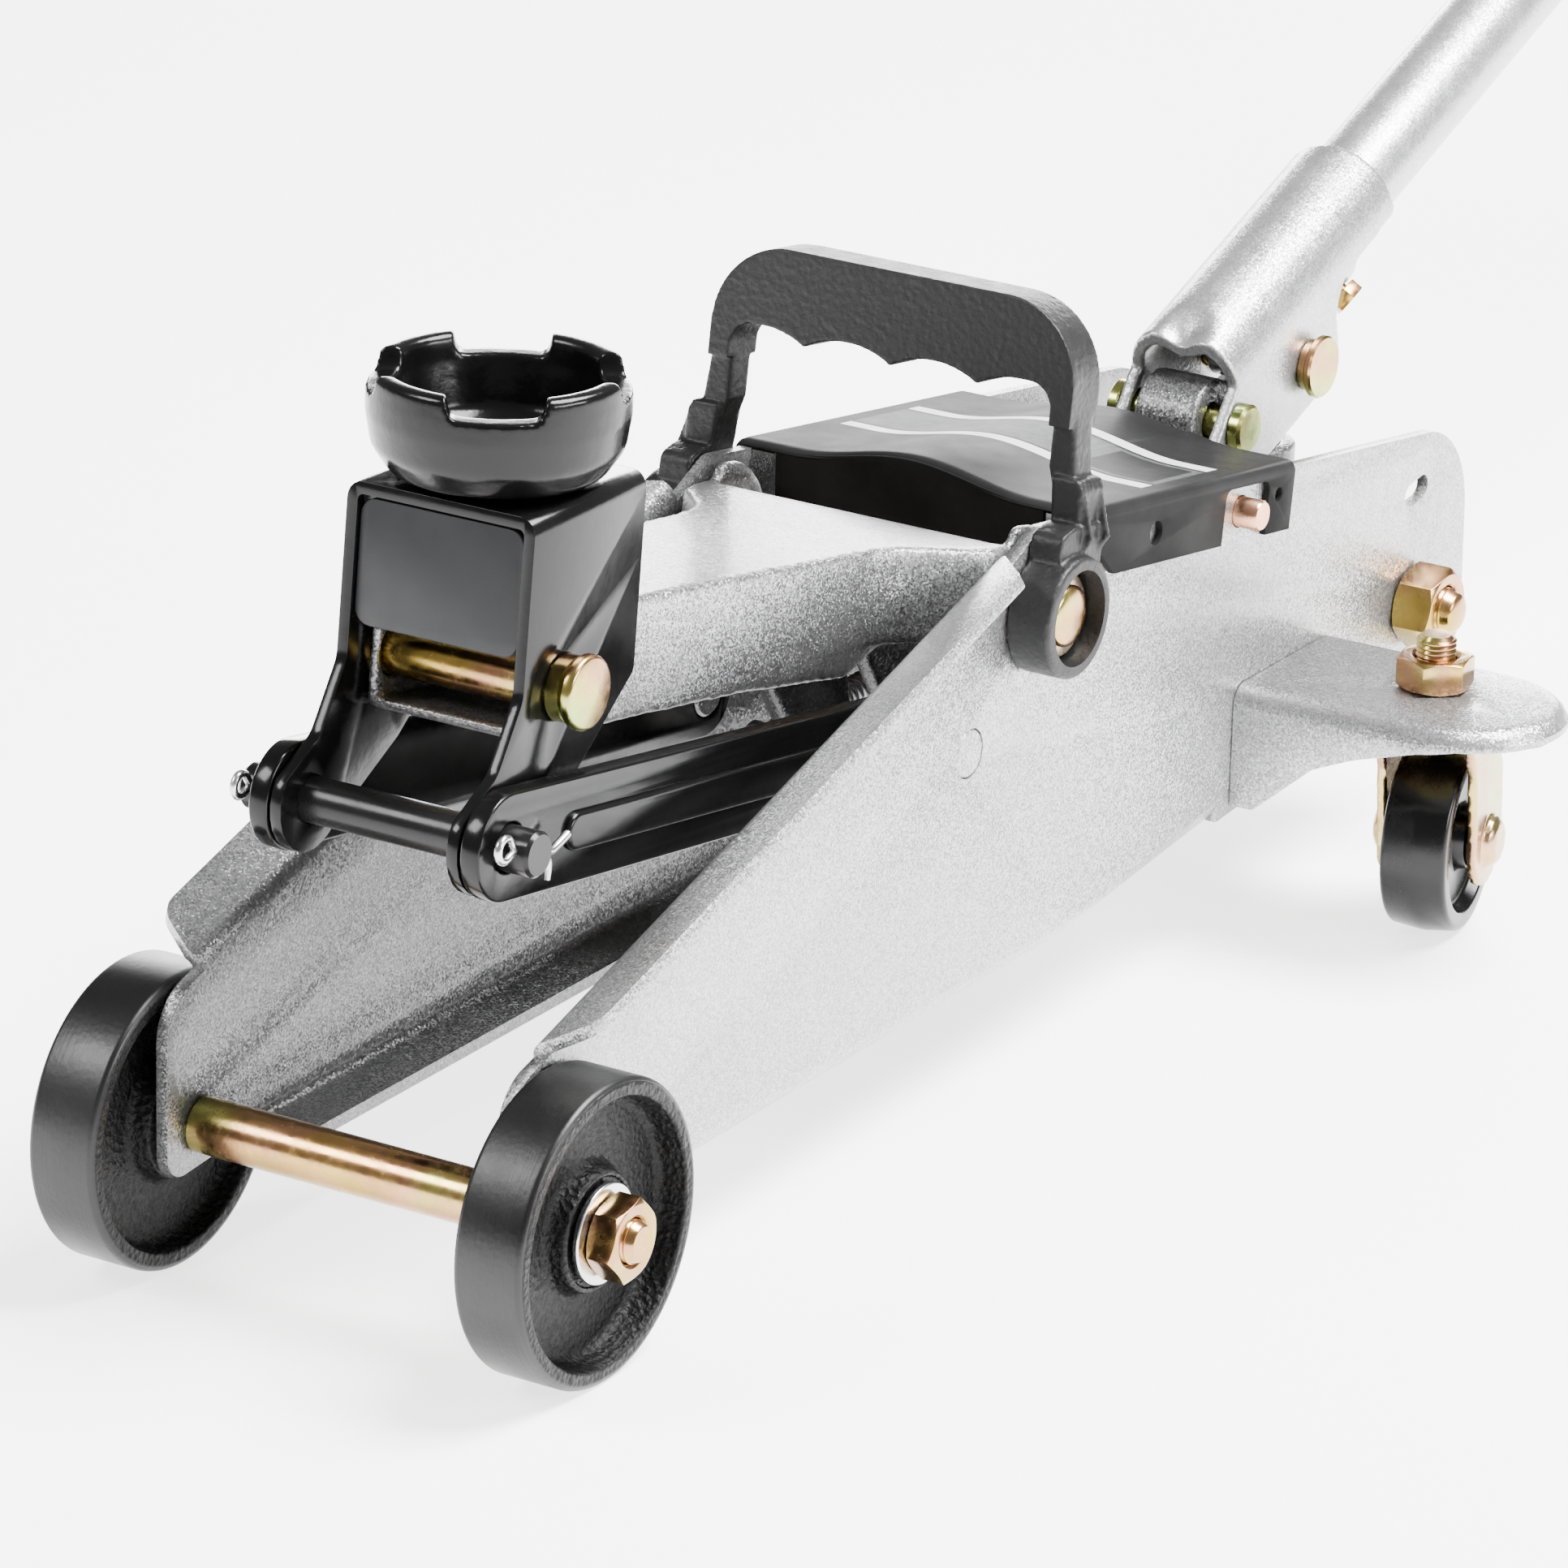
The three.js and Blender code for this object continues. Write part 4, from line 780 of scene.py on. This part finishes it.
def front_axle_and_nuts():
    end, shoulder, stud, radius = 73.5, 43.2, 5, 6.45
    half = [(radius, 0), (radius, shoulder - 0.7), (radius - 0.7, shoulder), (stud, shoulder), (stud, 66)]
    half += threads(66, end - 0.4, stud) + [(stud - 1.2, end), (0, end)]
    profile = [(r, -y) for r, y in reversed(half)][:-1] + half
    stand_for(place(lathe("front_axle_piece", profile, 96), AXLE), "front_axle")
    wheel_face = span("front_washer_left")[0]
    washer_face = wheel_face + 1.5
    washer = lathe("front_washer_left_piece", rounded([
        (5.3, wheel_face), (11.5, wheel_face, 0.3), (11.5, washer_face, 0.5), (5.3, washer_face, 0.3)], 4))
    pair(place(washer, AXLE), "front_washer")
    low, high = span("front_nut_left")
    nut = hex_nut("front_nut_left_piece", 17, low, high, 5.3)
    pair(along_y(nut, AXLE, math.radians(12)), "front_nut")


def turned(node, profile, steps=72, smooth=35):
    """A turned piece along Y at the middle of its node."""
    return stand_for(place(lathe(node + "_piece", profile, steps), middle_of(node)), node, smooth)


def dome(radius, low, rise, steps=6):
    """Profile points of a domed end, from its rim to its middle."""
    return [(radius * math.cos(a), low + rise * math.sin(a)) for a in
            [math.pi / 2 * k / steps for k in range(steps)]] + [(0, low + rise)]


def doubled(half):
    """A profile from the middle plane outwards, with its mirror image, as one closed profile."""
    return [(r, -y) for r, y in reversed(half)] + half


def pivot_pins():
    shaft = [(9, 0), (9, 43), (6.5, 43.2), (6.5, 54.2), (7.4, 54.5)]
    turned("pivot_shaft", doubled(shaft + dome(7.4, 55.2, 1.8)))
    low, high = span("pivot_washer_left")
    ring = lathe("pivot_washer_left_piece", rounded([
        (6.9, low), (10.2, low, 0.3), (10.2, high, 0.6), (6.9, high, 0.2)], 4))
    pair(place(ring, PIVOT_A), "pivot_washer")
    turned("arm_front_pin", [
        (0, -29), (5, -29), (5.7, -28.6), (6, -28), (6, 24.9), (7.6, 24.9), (7.6, 28.2), (7.0, 28.6),
        (7.0, 29.2), (8.2, 29.3), (8.5, 29.7), (8.5, 31.2), (8.2, 31.7), (7.6, 32), (0, 32)])
    turned("link_front_pin", doubled([(5.25, 0), (5.25, 37.2), (4.6, 38), (0, 38)]))
    rear = lathe("link_rear_pin_left_piece", [
        (0, 24.6), (5.2, 24.6), (5.8, 25.2), (5.8, 30.6), (8.5, 30.6), (8.5, 43.2), (5.8, 43.2), (5.8, 46.1),
        (5.4, 46.45), (0, 46.5)], 64)
    pair(place(rear, PIVOT_B), "link_rear_pin")
    turned("tie_rod", doubled([(6, 0), (6, 46)] + threads(46, 59.5, 6) + dome(4.9, 60, 1.5)))
    low, high = span("tie_nut_left")
    nut = hex_nut("tie_nut_left_piece", 19, low, high, 6.3)
    pair(along_y(nut, middle_of("tie_rod"), math.radians(16)), "tie_nut")
    pin = lathe("cover_pin_left_piece", [
        (0, 41), (5.2, 41), (5.5, 41.3), (5.5, 43.2), (3.8, 43.2), (3.8, 52.2), (3.4, 52.8), (0, 53)], 48)
    pair(place(pin, middle_of("cover_pin_left")), "cover_pin")
    turned("socket_pivot_pin", [
        (0, -19), (5.4, -19), (6, -18.4), (6, -16.4), (5.6, -16), (4.5, -16), (4.5, 16), (6.2, 16),
        (6.2, 18.4), (5.4, 19.2), (0, 19.4)])
    turned("plunger_pin", [
        (0, -18), (5.8, -18), (6.2, -17.6), (6.2, -16), (5, -15.9), (5, 15.9), (6.5, 15.9),
        (6.5, 18.1), (7.6, 18.1), (8, 18.5), (8, 19.6), (7.5, 20.1), (0, 20.1)])
    turned("roller_pin", doubled([
        (5, 0), (5, 32), (3.6, 32.5), (3.6, 34.5), (5, 35), (5, 36.4), (4.4, 37), (0, 37)]))


def link_bars():
    """Flat bars with round ends and a long pressed rib."""
    length = (PIVOT_D - PIVOT_B).length / MM
    inner, outer = 25.2, 30.2
    outline = arc(0, 0, 11.2, 90, 270, 24) + arc(length, 0, 12.3, -90, 90, 24)
    bar = prism("link_bar_left_piece", outline, inner, outer)
    cut(bar, drill(6.1, 20, 40))
    cut(bar, place(drill(5.55, 20, 40), Vector((length * MM, 0, 0))))
    bevelled(tidy(bar), 0.7, 3, 50)
    rib_outline = rounded([(24, -4.5, 4.4), (148, -4.5, 4.4), (148, 4.5, 4.4), (24, 4.5, 4.4)], 10)
    rib = bevelled(prism("rib", rib_outline, outer - 1, outer + 1.5), 1.2, 4, 50)
    combine(bar, rib)
    place(bar, PIVOT_B, ARM_TILT)
    pair(bar, "link_bar")


def round_wire(name, points, radius, resolution):
    """A closed mesh of round wire along a line of points."""
    curve = bpy.data.curves.new(name, "CURVE")
    curve.dimensions = "3D"
    curve.bevel_depth = radius
    curve.bevel_resolution = resolution
    curve.use_fill_caps = True
    spline = curve.splines.new("POLY")
    spline.points.add(len(points) - 1)
    for point, at in zip(spline.points, points):
        point.co = (*at, 1)
    drawn = linked(name, curve)
    bpy.context.view_layer.update()
    data = bpy.data.meshes.new_from_object(drawn.evaluated_get(bpy.context.evaluated_depsgraph_get()))
    bpy.data.objects.remove(drawn)
    return linked(name + "_piece", data)


def cotter_pins():
    """Split pins of half-round wire: an eye, two legs through the pin, and two bent prongs."""
    legs = [(-15.2, 0, 4.8), (-12.5, 0, 2.6), (-10, 0, 0.9), (-8.6, 0, 0.55), (0, 0, 0.55), (6, 0, 0.6)]
    eye = [(9.2 + 2.6 * math.cos(a), 0, 2.6 * math.sin(a)) for a in
           [math.radians(140 - 280 * k / 12) for k in range(13)]]
    prong = [(6, 0, -0.6), (0, 0, -0.55), (-8.2, 0, -0.55), (-9.4, 0, -1.6), (-9.9, 0, -3.4),
             (-10.1, 0, -5.6)]
    route = [Vector(point) * MM for point in legs + eye + prong]
    pin = round_wire("cotter_pin_left", route, 0.95 * MM, 4)
    place(pin, Vector((PIVOT_D.x, centre("cotter_pin_left").y, PIVOT_D.z)), math.radians(20))
    pair(pin, "cotter_pin", 60)


# ---------------------------------------------------------------- saddle
HEAD_LEAN = math.radians(1)


def saddle():
    """A cast cup with four lugs, its edges rounded by thick paint."""
    base, radius = 41.3, 29.2
    rim, top = base + 20, base + 24.9
    cup = lathe("saddle_piece", rounded([
        (0, base - 10), (6.9, base - 10, 0.5), (6.9, base), (17, base, 1), (24, base + 1.6, 4),
        (28, base + 7.5, 6), (radius, base + 15, 5),
        (radius, rim - 1, 3), (radius - 0.4, top, 1.9), (radius - 4.8, top, 1.9), (radius - 5.5, rim - 1, 2),
        (radius - 8, base + 8.5, 2.5),
        (18, base + 6, 1.5), (0, base + 6)], 6), 96, "Z")
    notch = rounded([(-10, rim, 2.4), (10, rim, 2.4), (12.6, rim + 14), (-12.6, rim + 14)], 6)
    across = prism("notch", notch, -45, 45, "YZ")
    other = linked("notch", across.data.copy())
    cut(cup, across, swung(other, Vector(), math.pi / 2))
    relaxed(tidy(cup), 0.55, 7)
    swung(cup, Vector((-10 * MM, 0, 0)), math.radians(32))
    stand_for(place(cup, PIVOT_C, HEAD_LEAN), "saddle", CAST_ANGLE)


# ---------------------------------------------------------------- tubes of the handle
HANDLE_TILT = math.radians(20.2)
HANDLE_START = middle_of("socket_pivot_pin") + Vector((0, 0, 9.4 * MM))


def handle_tubes():
    r, wall = 11.5, 1.6
    lower = lathe("lower_handle_piece", rounded([
        (r - wall, -44), (r - wall, -330), (r, -330, 0.4), (r, -44, 0.4)], 3), 96, "X")
    stand_for(place(lower, HANDLE_START, -HANDLE_TILT), "lower_handle")
    neck = r - wall - 0.3
    upper = lathe("upper_handle_piece", [
        (neck - 1.5, -270), (neck, -270), (neck, -330.3), (r, -330.4), (r, -600), (r - wall, -600),
        (r - wall, -333), (neck - 1.5, -330)], 96, "X")
    stand_for(place(upper, HANDLE_START, -HANDLE_TILT), "upper_handle")
    inner, outer, first, last = r + 0.3, r + 2.2, -475, -601.4
    ribs = []
    for k in range(26):
        low = first + (last - first) * (0.12 + 0.8 * k / 26)
        ribs += [(outer, low), (outer, low - 2.2), (outer - 0.7, low - 2.7), (outer - 0.7, low - 3.4)]
    grip = lathe("handle_grip_piece", [(inner, first), (outer - 0.6, first), (outer, first - 1)] + ribs + [
        (outer, last + 1), (outer - 0.3, last - 0.4), (outer - 1.2, last - 1), (0, last - 1), (0, -600.3),
        (inner, -600.3)], 72, "X")
    stand_for(place(grip, HANDLE_START, -HANDLE_TILT), "handle_grip")


# ---------------------------------------------------------------- casters
CASTER_TURN = math.radians(11)


def casters():
    stem = centre("caster_stem_left")
    foot = Vector((stem.x, stem.y, 0))
    stem_foot = span("caster_stem_left", "z")[0]
    screw = lathe("caster_stem_left_piece", [
        (0, stem_foot), (7.6, stem_foot), (8, stem_foot + 0.4), (8, stem_foot + 2.8), (5, stem_foot + 2.8),
        (5, 66.5)] + threads(66.5, 79, 5) + [(3.6, 79.9), (0, 80)], 64, "Z")
    pair(swung(screw, foot), "caster_stem")
    low, high = span("caster_nut_left", "z")
    nut = hex_nut("caster_nut_left_piece", 17, low, high, 5.3)
    pair(swung(nut, foot, math.radians(10)), "caster_nut")

    radius, half, trail = 24.3, 9, 10.8
    wheel = lathe("caster_wheel_left_piece", rounded([
        (3.9, -half), (7.5, -half, 0.8), (8.4, -5, 1.2), (17.4, -5, 1.5), (19, -half + 0.6, 0.8),
        (radius - 1, -half + 0.6, 1.5), (radius, 0, 12), (radius - 1, half - 0.6, 1.5), (19, half - 0.6, 0.8),
        (17.4, 5, 1.5), (8.4, 5, 1.2), (7.5, half, 0.8), (3.9, half)], 6), 96)
    place(wheel, Vector((-trail, 0, radius)) * MM)
    pair(swung(wheel, foot, CASTER_TURN), "caster_wheel", 50)


# ---------------------------------------------------------------- sheet metal
def sheet(name, faces, thickness, steps=1):
    """A pressed sheet from faces given as point lists in millimetres; points in the same place are shared.
    The faces are one side of the sheet, and its thickness grows to their back."""
    bm = bmesh.new()
    for face in faces:
        bm.faces.new([bm.verts.new([v * MM for v in point]) for point in face])
    bmesh.ops.remove_doubles(bm, verts=bm.verts, dist=1e-6)
    bmesh.ops.recalc_face_normals(bm, faces=bm.faces)
    obj = link_mesh(name, bm)
    solid = obj.modifiers.new("solid", "SOLIDIFY")
    solid.thickness = thickness * MM
    solid.offset = -1
    solid.use_even_offset = True
    return apply_modifiers(obj)


def strip(first, second):
    """Faces between two lines of points."""
    return [[a, b, d, c] for a, b, c, d in zip(first, first[1:], second, second[1:])]


def hole_y(x, z, radius, low, high, steps=48):
    return prism("hole", arc(x, z, radius, 0, 360 - 360 / steps, steps - 1), low, high)


PLATE_OUT, PLATE_THICK, BEND = 46.5, 3.0, 2.5
FLANGE_SLOPE = math.atan(0.296)
COVER_SLOPE = 0.148  # how much the chassis falls towards the rear, behind the arm's pivot


def side_plates():
    """Pressed side plates: a flat web, a top flange bent outwards along the slope and a foot bent inwards."""
    along = Vector((-math.cos(FLANGE_SLOPE), 0, math.sin(FLANGE_SLOPE)))
    upward = Vector((math.sin(FLANGE_SLOPE), 0, math.cos(FLANGE_SLOPE)))
    start = Vector((-2, PLATE_OUT, 72.9 + 0.592 - BEND - 0.5))
    length = 182 / math.cos(FLANGE_SLOPE)

    def at(t, out, up):
        return tuple(start + along * t + Vector((0, out, 0)) + upward * up)

    flange_arc = [(BEND + x, y) for x, y in arc(0, 0, BEND, 180, 110, 6)]
    tip = length + 10  # the bend runs on past the flat strip's outer corner
    rows = [[at(0, *p), at(tip, *p)] for p in flange_arc]
    faces = [f for a, b in zip(rows, rows[1:]) for f in strip(a, b)]
    out0, up0 = flange_arc[-1]
    rise = math.radians(20)
    shape = rounded([(0, 0), (11.5, 7, 8), (11.5, length - 1, 3), (0, tip)])
    faces.append([at(t, out0 + s * math.cos(rise), up0 + s * math.sin(rise)) for s, t in shape])

    end = start + along * tip
    # the foot is level from its front to the kink, and rises from there to its rear
    low, lip, front, kink, rear, lift = 25.5, 29.5, -6, -228, -300, 7.3
    foot = low + BEND + PLATE_THICK
    web = rounded([
        (12, 24, 6), (12, 67, 13), (start.x, start.z), (end.x, end.z), (-209, 134.2, 7),
        (-425, 102.2, 26), (-426.5, 42, 12), (rear, low + lift), (rear, foot + lift), (kink, foot),
        (front, foot), (front, low)], 12)
    faces.append([(x, PLATE_OUT, z) for x, z in web])

    bend = arc(PLATE_OUT - BEND - PLATE_THICK, foot, BEND + PLATE_THICK, 0, -90, 6)
    rows = [[(front, y, z), (kink, y, z), (rear, y, z + lift)] for y, z in bend]
    faces += [f for a, b in zip(rows, rows[1:]) for f in strip(a, b)]
    inner = bend[-1][0]
    faces.append([(front, inner, low), (front - 8, lip, low), (kink, lip, low), (kink, inner, low)])
    cut_off = 8 / (kink - rear)  # the lip ends 8 mm before the web does
    tail = (rear + 8, lip + 3.5, low + (1 - cut_off) * lift)
    faces.append([(kink, inner, low), (kink, lip, low), tail, (rear, inner, low + lift)])

    plate = sheet("side_plate_left_piece", faces, PLATE_THICK)
    x0 = AXLE.x / MM
    holes = {"pivot_shaft": 6.8, "link_rear_pin_left": 6.05, "tie_rod": 6.3, "cover_pin_left": 4.1}
    slot = prism("slot", rounded([(-6, -3, 2.9), (6, -3, 2.9), (6, 3, 2.9), (-6, 3, 2.9)]), 40, 50)
    place(slot, Vector((-398.3, 0, 91.3)) * MM, -math.atan(COVER_SLOPE))
    cut(plate, hole_y(0, 35, 5.3, 40, 50))
    for node, radius in holes.items():
        cut(plate, hole_y(centre(node).x / MM - x0, centre(node).z / MM, radius, 40, 50))
    cut(plate, slot)
    bevelled(tidy(plate), 0.45, 2, 45)
    place(plate, UNDER_AXLE)
    pair(plate, "side_plate", 30)


def rear_ears():
    """Pressed ears for the casters: a round-ended top with both edges bent down and cut away to a gusset."""
    corner, thick = 5.0, 3.0
    front, rear, top, inside, round_at, tip = -306.0, -356.5, 66.3, 46.8, 97.0, 25.25
    middle = (front + rear) / 2

    def lower_edge(y):
        points = [(46.8, 35.5), (53, 35.5), (69, 49.5), (80, 54.3), (97, 59.5), (112, 62.2), (124, 63.0)]
        for (y0, z0), (y1, z1) in zip(points, points[1:]):
            if y <= y1:
                return z0 + (z1 - z0) * (y - y0) / (y1 - y0)
        return points[-1][1]

    # stations run out along the rear side, round the tip and back along the front side
    straight = [inside + (round_at - inside) * k / 16 for k in range(16)]
    rim = [(rear, y, -1, 0) for y in straight]
    rim += [(middle + tip * math.cos(a), round_at + tip * math.sin(a), math.cos(a), math.sin(a))
            for a in [math.radians(180 - 180 * k / 32) for k in range(33)]]
    rim += [(front, y, 1, 0) for y in reversed(straight)]
    columns = []
    for x, y, nx, ny in rim:
        bottom = lower_edge(y)
        column = [(x, y, bottom)] if bottom < top - corner - 0.2 else []
        for a in [math.radians(90 * k / 5) for k in range(6)]:
            z = top - corner + corner * math.sin(a)
            pull = corner * (1 - math.cos(a))
            column.append((x - nx * pull, y - ny * pull, max(z, bottom)))
        if len(column) == 6:
            column.insert(0, (x, y, max(min(bottom, top - corner), top - corner) - 0.01))
        columns.append(column)
    faces = [f for a, b in zip(columns, columns[1:]) for f in strip(a, b)]
    faces.append([column[-1] for column in columns])
    ear = sheet("rear_ear_left_piece", faces, thick)
    stem = centre("caster_stem_left") - UNDER_AXLE
    cut(ear, place(drill(5.3, 50, 80, "Z"), Vector((stem.x, stem.y, 0))))
    bevelled(tidy(ear), 0.5, 2, 45)
    place(ear, UNDER_AXLE)
    pair(ear, "rear_ear", 40)


# ---------------------------------------------------------------- castings and mouldings
def lift_arm():
    melted("lift_arm", 0.9, 14)


CARRY_LEAN = math.radians(8.4)


def slab(name, x0, x1, y0, y1, z0, z1):
    return prism(name, [(x0, z0), (x1, z0), (x1, z1), (x0, z1)], y0, y1)


def carry_handle():
    """A moulded bar with finger scallops on two thin legs, and a round boss on each foot."""
    top, low, half, leg = 72.5, 50.0, 49.6, 43.8
    reach, pitch = leg - 4.5, 23.6
    scallops = []
    for k in range(97):
        y = reach - 2 * reach * k / 96
        wave = abs(math.sin(math.pi * (y / pitch))) ** 0.75
        near_end = 1 if abs(y) > 1.5 * pitch else wave
        scallops.append((y, low + 3.4 * near_end))
    bar = prism("carry_handle_piece", rounded([
        (half, 44), (half, top, 20), (-half, top, 20), (-half, 44), (-leg, 44), (-leg, low + 3.4, 6)]
        + scallops[::-1] + [(leg, low + 3.4, 6), (leg, 44)], 12), -6.5, 6.5, "YZ")
    bevelled(bar, 1.6, 4, 50)
    for side in (1, -1):
        y_in = 46.9 * side
        leg_shape = [(52.1 * side, 24), (half * side, 48), (leg * side, 50), (leg * side, 34), (y_in, 24)]
        combine(bar, bevelled(prism("leg", leg_shape, -4.3, 4.3, "YZ"), 0.9, 3, 50))
        collar = [(y_in, 18), (54.4 * side, 18), (54.4 * side, 30), (53 * side, 32.5), (45.5 * side, 32.5)]
        combine(bar, bevelled(prism("collar", collar, -5.6, 5.6, "YZ"), 0.9, 3, 50))
        for x in (-4.6, 3.2):
            fin = [(53.5 * side, 32), (57.6 * side, 19), (53.5 * side, 12)]
            combine(bar, prism("fin", fin, x, x + 1.4, "YZ"))
    place(bar, Vector((-7.4, 0, -1)) * MM)
    for side in (1, -1):
        y_in, y_out = 46.9 * side, 58.4 * side
        neck = rounded([(-12.8, 6), (7, 6), (7, 19, 3), (1, 21, 3), (-12.8, 21, 1)])
        combine(bar, prism("neck", neck, *sorted((y_in, 55.3 * side))))
        boss = rounded([(0, y_in), (14.6, y_in, 0.8), (14.6, y_out, 1.2), (0, y_out)], 4)
        combine(bar, lathe("boss", boss, 96))
    relaxed(tidy(bar), 0.5, 3)
    for side in (1, -1):
        floor, mouth = 51.9 * side, 61 * side
        cut(bar, lathe("recess", [(0, floor), (11.2, floor), (11.6, mouth), (0, mouth)], 96))
    cut(bar, drill(7, -70, 70, steps=64))
    stand_for(place(bar, PIVOT_A, CARRY_LEAN), "carry_handle", 50)


def handle_socket():
    """The socket's mouth is pressed in at the top."""
    piece = melted("handle_socket", 0.7, 6)
    mouth = Vector((HANDLE_START.x, centre("socket_pivot_pin").y, HANDLE_START.z))
    along = Vector((-math.cos(HANDLE_TILT), 0, math.sin(HANDLE_TILT)))
    up = Vector((math.sin(HANDLE_TILT), 0, math.cos(HANDLE_TILT)))
    for vertex in piece.data.vertices:
        offset = (vertex.co - mouth) / MM
        s, h = offset.dot(along), offset.dot(up)
        if h < 6:
            continue
        dent = 5.2 * math.exp(-((s - 1) / 7) ** 2 - (offset.y / 5.6) ** 2)
        vertex.co -= up * dent * MM


def forks():
    for side in ("left", "right"):
        melted("caster_fork_" + side, 0.6, 3)


def cover():
    """A pressed cover: a soft hump along the middle, rounded long edges, side skirts and a front apron."""
    out, thick, crown, bend, skirt = 48.5, 1.6, 4.4, 2.6, 17.0
    front, edge, length = -226.5, 136.1 - COVER_SLOPE * 17.5, 104.5

    def crown_at(y):
        return crown * (0.5 + 0.5 * math.cos(math.pi * min(1, abs(y) / 33)))

    across = [(y, crown_at(y)) for y in [(-out + bend) + 2 * (out - bend) * k / 48 for k in range(49)]]
    left = [(-out + bend + x, -bend + z) for x, z in arc(0, 0, bend, 180, 90, 5)][:-1]
    right = [(-y, z) for y, z in reversed(left)]
    line = [(-out, -bend - 0.01)] + left[1:] + across + right[:-1] + [(out, -bend - 0.01)]
    stations = [0, -0.6, -1.6, -4, -20, -60, -90, -length]
    dip = {0: -1.6, -0.6: -0.7, -1.6: -0.1}
    rows = [[(x, y, z + dip.get(x, 0)) for y, z in line] for x in stations]
    faces = [f for a, b in zip(rows, rows[1:]) for f in strip(a, b)]
    for side, index in ((1, -1), (-1, 0)):
        tops = [row[index] for row in rows]
        faces.append(tops + [(-length, side * out, -skirt), (-17, side * out, -skirt)])
    piece = sheet("cover_piece", faces, thick)
    notch = prism("notch", rounded([(-92, -20), (-70, -20), (-70, -3.4, 2.5), (-92, -3.4, 2.5)]), -60, 60)
    keep = slab("keep", -110, 5, -42, 42, -30, 20)
    mouth = prism("mouth", rounded([(-length - 5, -19), (-length + 3, -19, 3), (-length + 3, 19, 3),
                                    (-length - 5, 19)]), -25, 25, "XY")
    cut(piece, cut(notch, keep), mouth, hole_y(-36, -9.5, 3, -60, 60), hole_y(-97, -7.5, 1.8, -60, 60))
    bevelled(tidy(piece), 0.3, 2, 45)
    place(piece, Vector((AXLE.x + front * MM, 0, edge * MM)), math.atan(COVER_SLOPE))
    half, foot = 37, 118
    drop = [(y, edge + crown_at(y) - 1.0) for y in [half - 2 * half * k / 32 for k in range(33)]]
    apron_shape = rounded([(-half, foot, 2), (half, foot, 2)] + drop)
    apron = prism("apron", apron_shape, front - thick, front - 0.1, "YZ")
    place(apron, UNDER_AXLE)
    combine(piece, bevelled(apron, 0.25, 2, 45))
    stand_for(piece, "cover", 35)


def hydraulic_unit():
    melted("pump_block", 0.9, 5)
    eased("oil_tank", 1.2, 3, 50)


def coil_spring(name, start, end, radius, wire, turns):
    """A helix of round wire between two points."""
    axis = end - start
    turn = axis.to_track_quat("Z", "Y")
    steps = 12
    count = turns * steps
    helix = []
    for k in range(count + 1):
        angle = 2 * math.pi * k / steps
        along = wire * MM + (axis.length - 2 * wire * MM) * k / count
        local = Vector((radius * MM * math.cos(angle), radius * MM * math.sin(angle), along))
        helix.append(start + turn @ local)
    return round_wire(name, helix, wire * MM, 2)


def springs():
    """Coil springs in place of the plain sleeves."""
    low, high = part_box("return_spring_left")
    rear = Vector((low.x + 1 * MM, (low.y + high.y) / 2, high.z - 4 * MM))
    front = Vector((high.x - 0.2 * MM, rear.y, low.z + 4.2 * MM))
    for side, sign in (("left", 1), ("right", -1)):
        flip = Vector((1, sign, 1))
        coil = coil_spring("return_spring_" + side, rear * flip, front * flip, 3.2, 0.75, 46)
        smooth_by_angle(coil, 60)
        coil.data.materials.append(FINISHES["spring_steel"])
        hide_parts("return_spring_" + side)
        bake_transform(coil)
        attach(coil, "chassis")
    low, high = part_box("plunger_spring")
    middle = (low + high) / 2
    foot, head = Vector((middle.x, 0, low.z)), Vector((middle.x, 0, high.z))
    coil = coil_spring("plunger_spring", foot, head, 8.3, 0.7, 4)
    stand_for(coil, "plunger_spring", 60)


front_wheels()
front_axle_and_nuts()
pivot_pins()
link_bars()
cotter_pins()
saddle()
handle_tubes()
casters()
side_plates()
rear_ears()
lift_arm()
carry_handle()
cover()
handle_socket()
forks()
hydraulic_unit()
springs()

# every other node keeps its own shape, with its edges rounded
for node in sorted(NODES):
    if not NODES[node].hide_render:
        eased(node)

make_camera()
make_floor()
make_light()
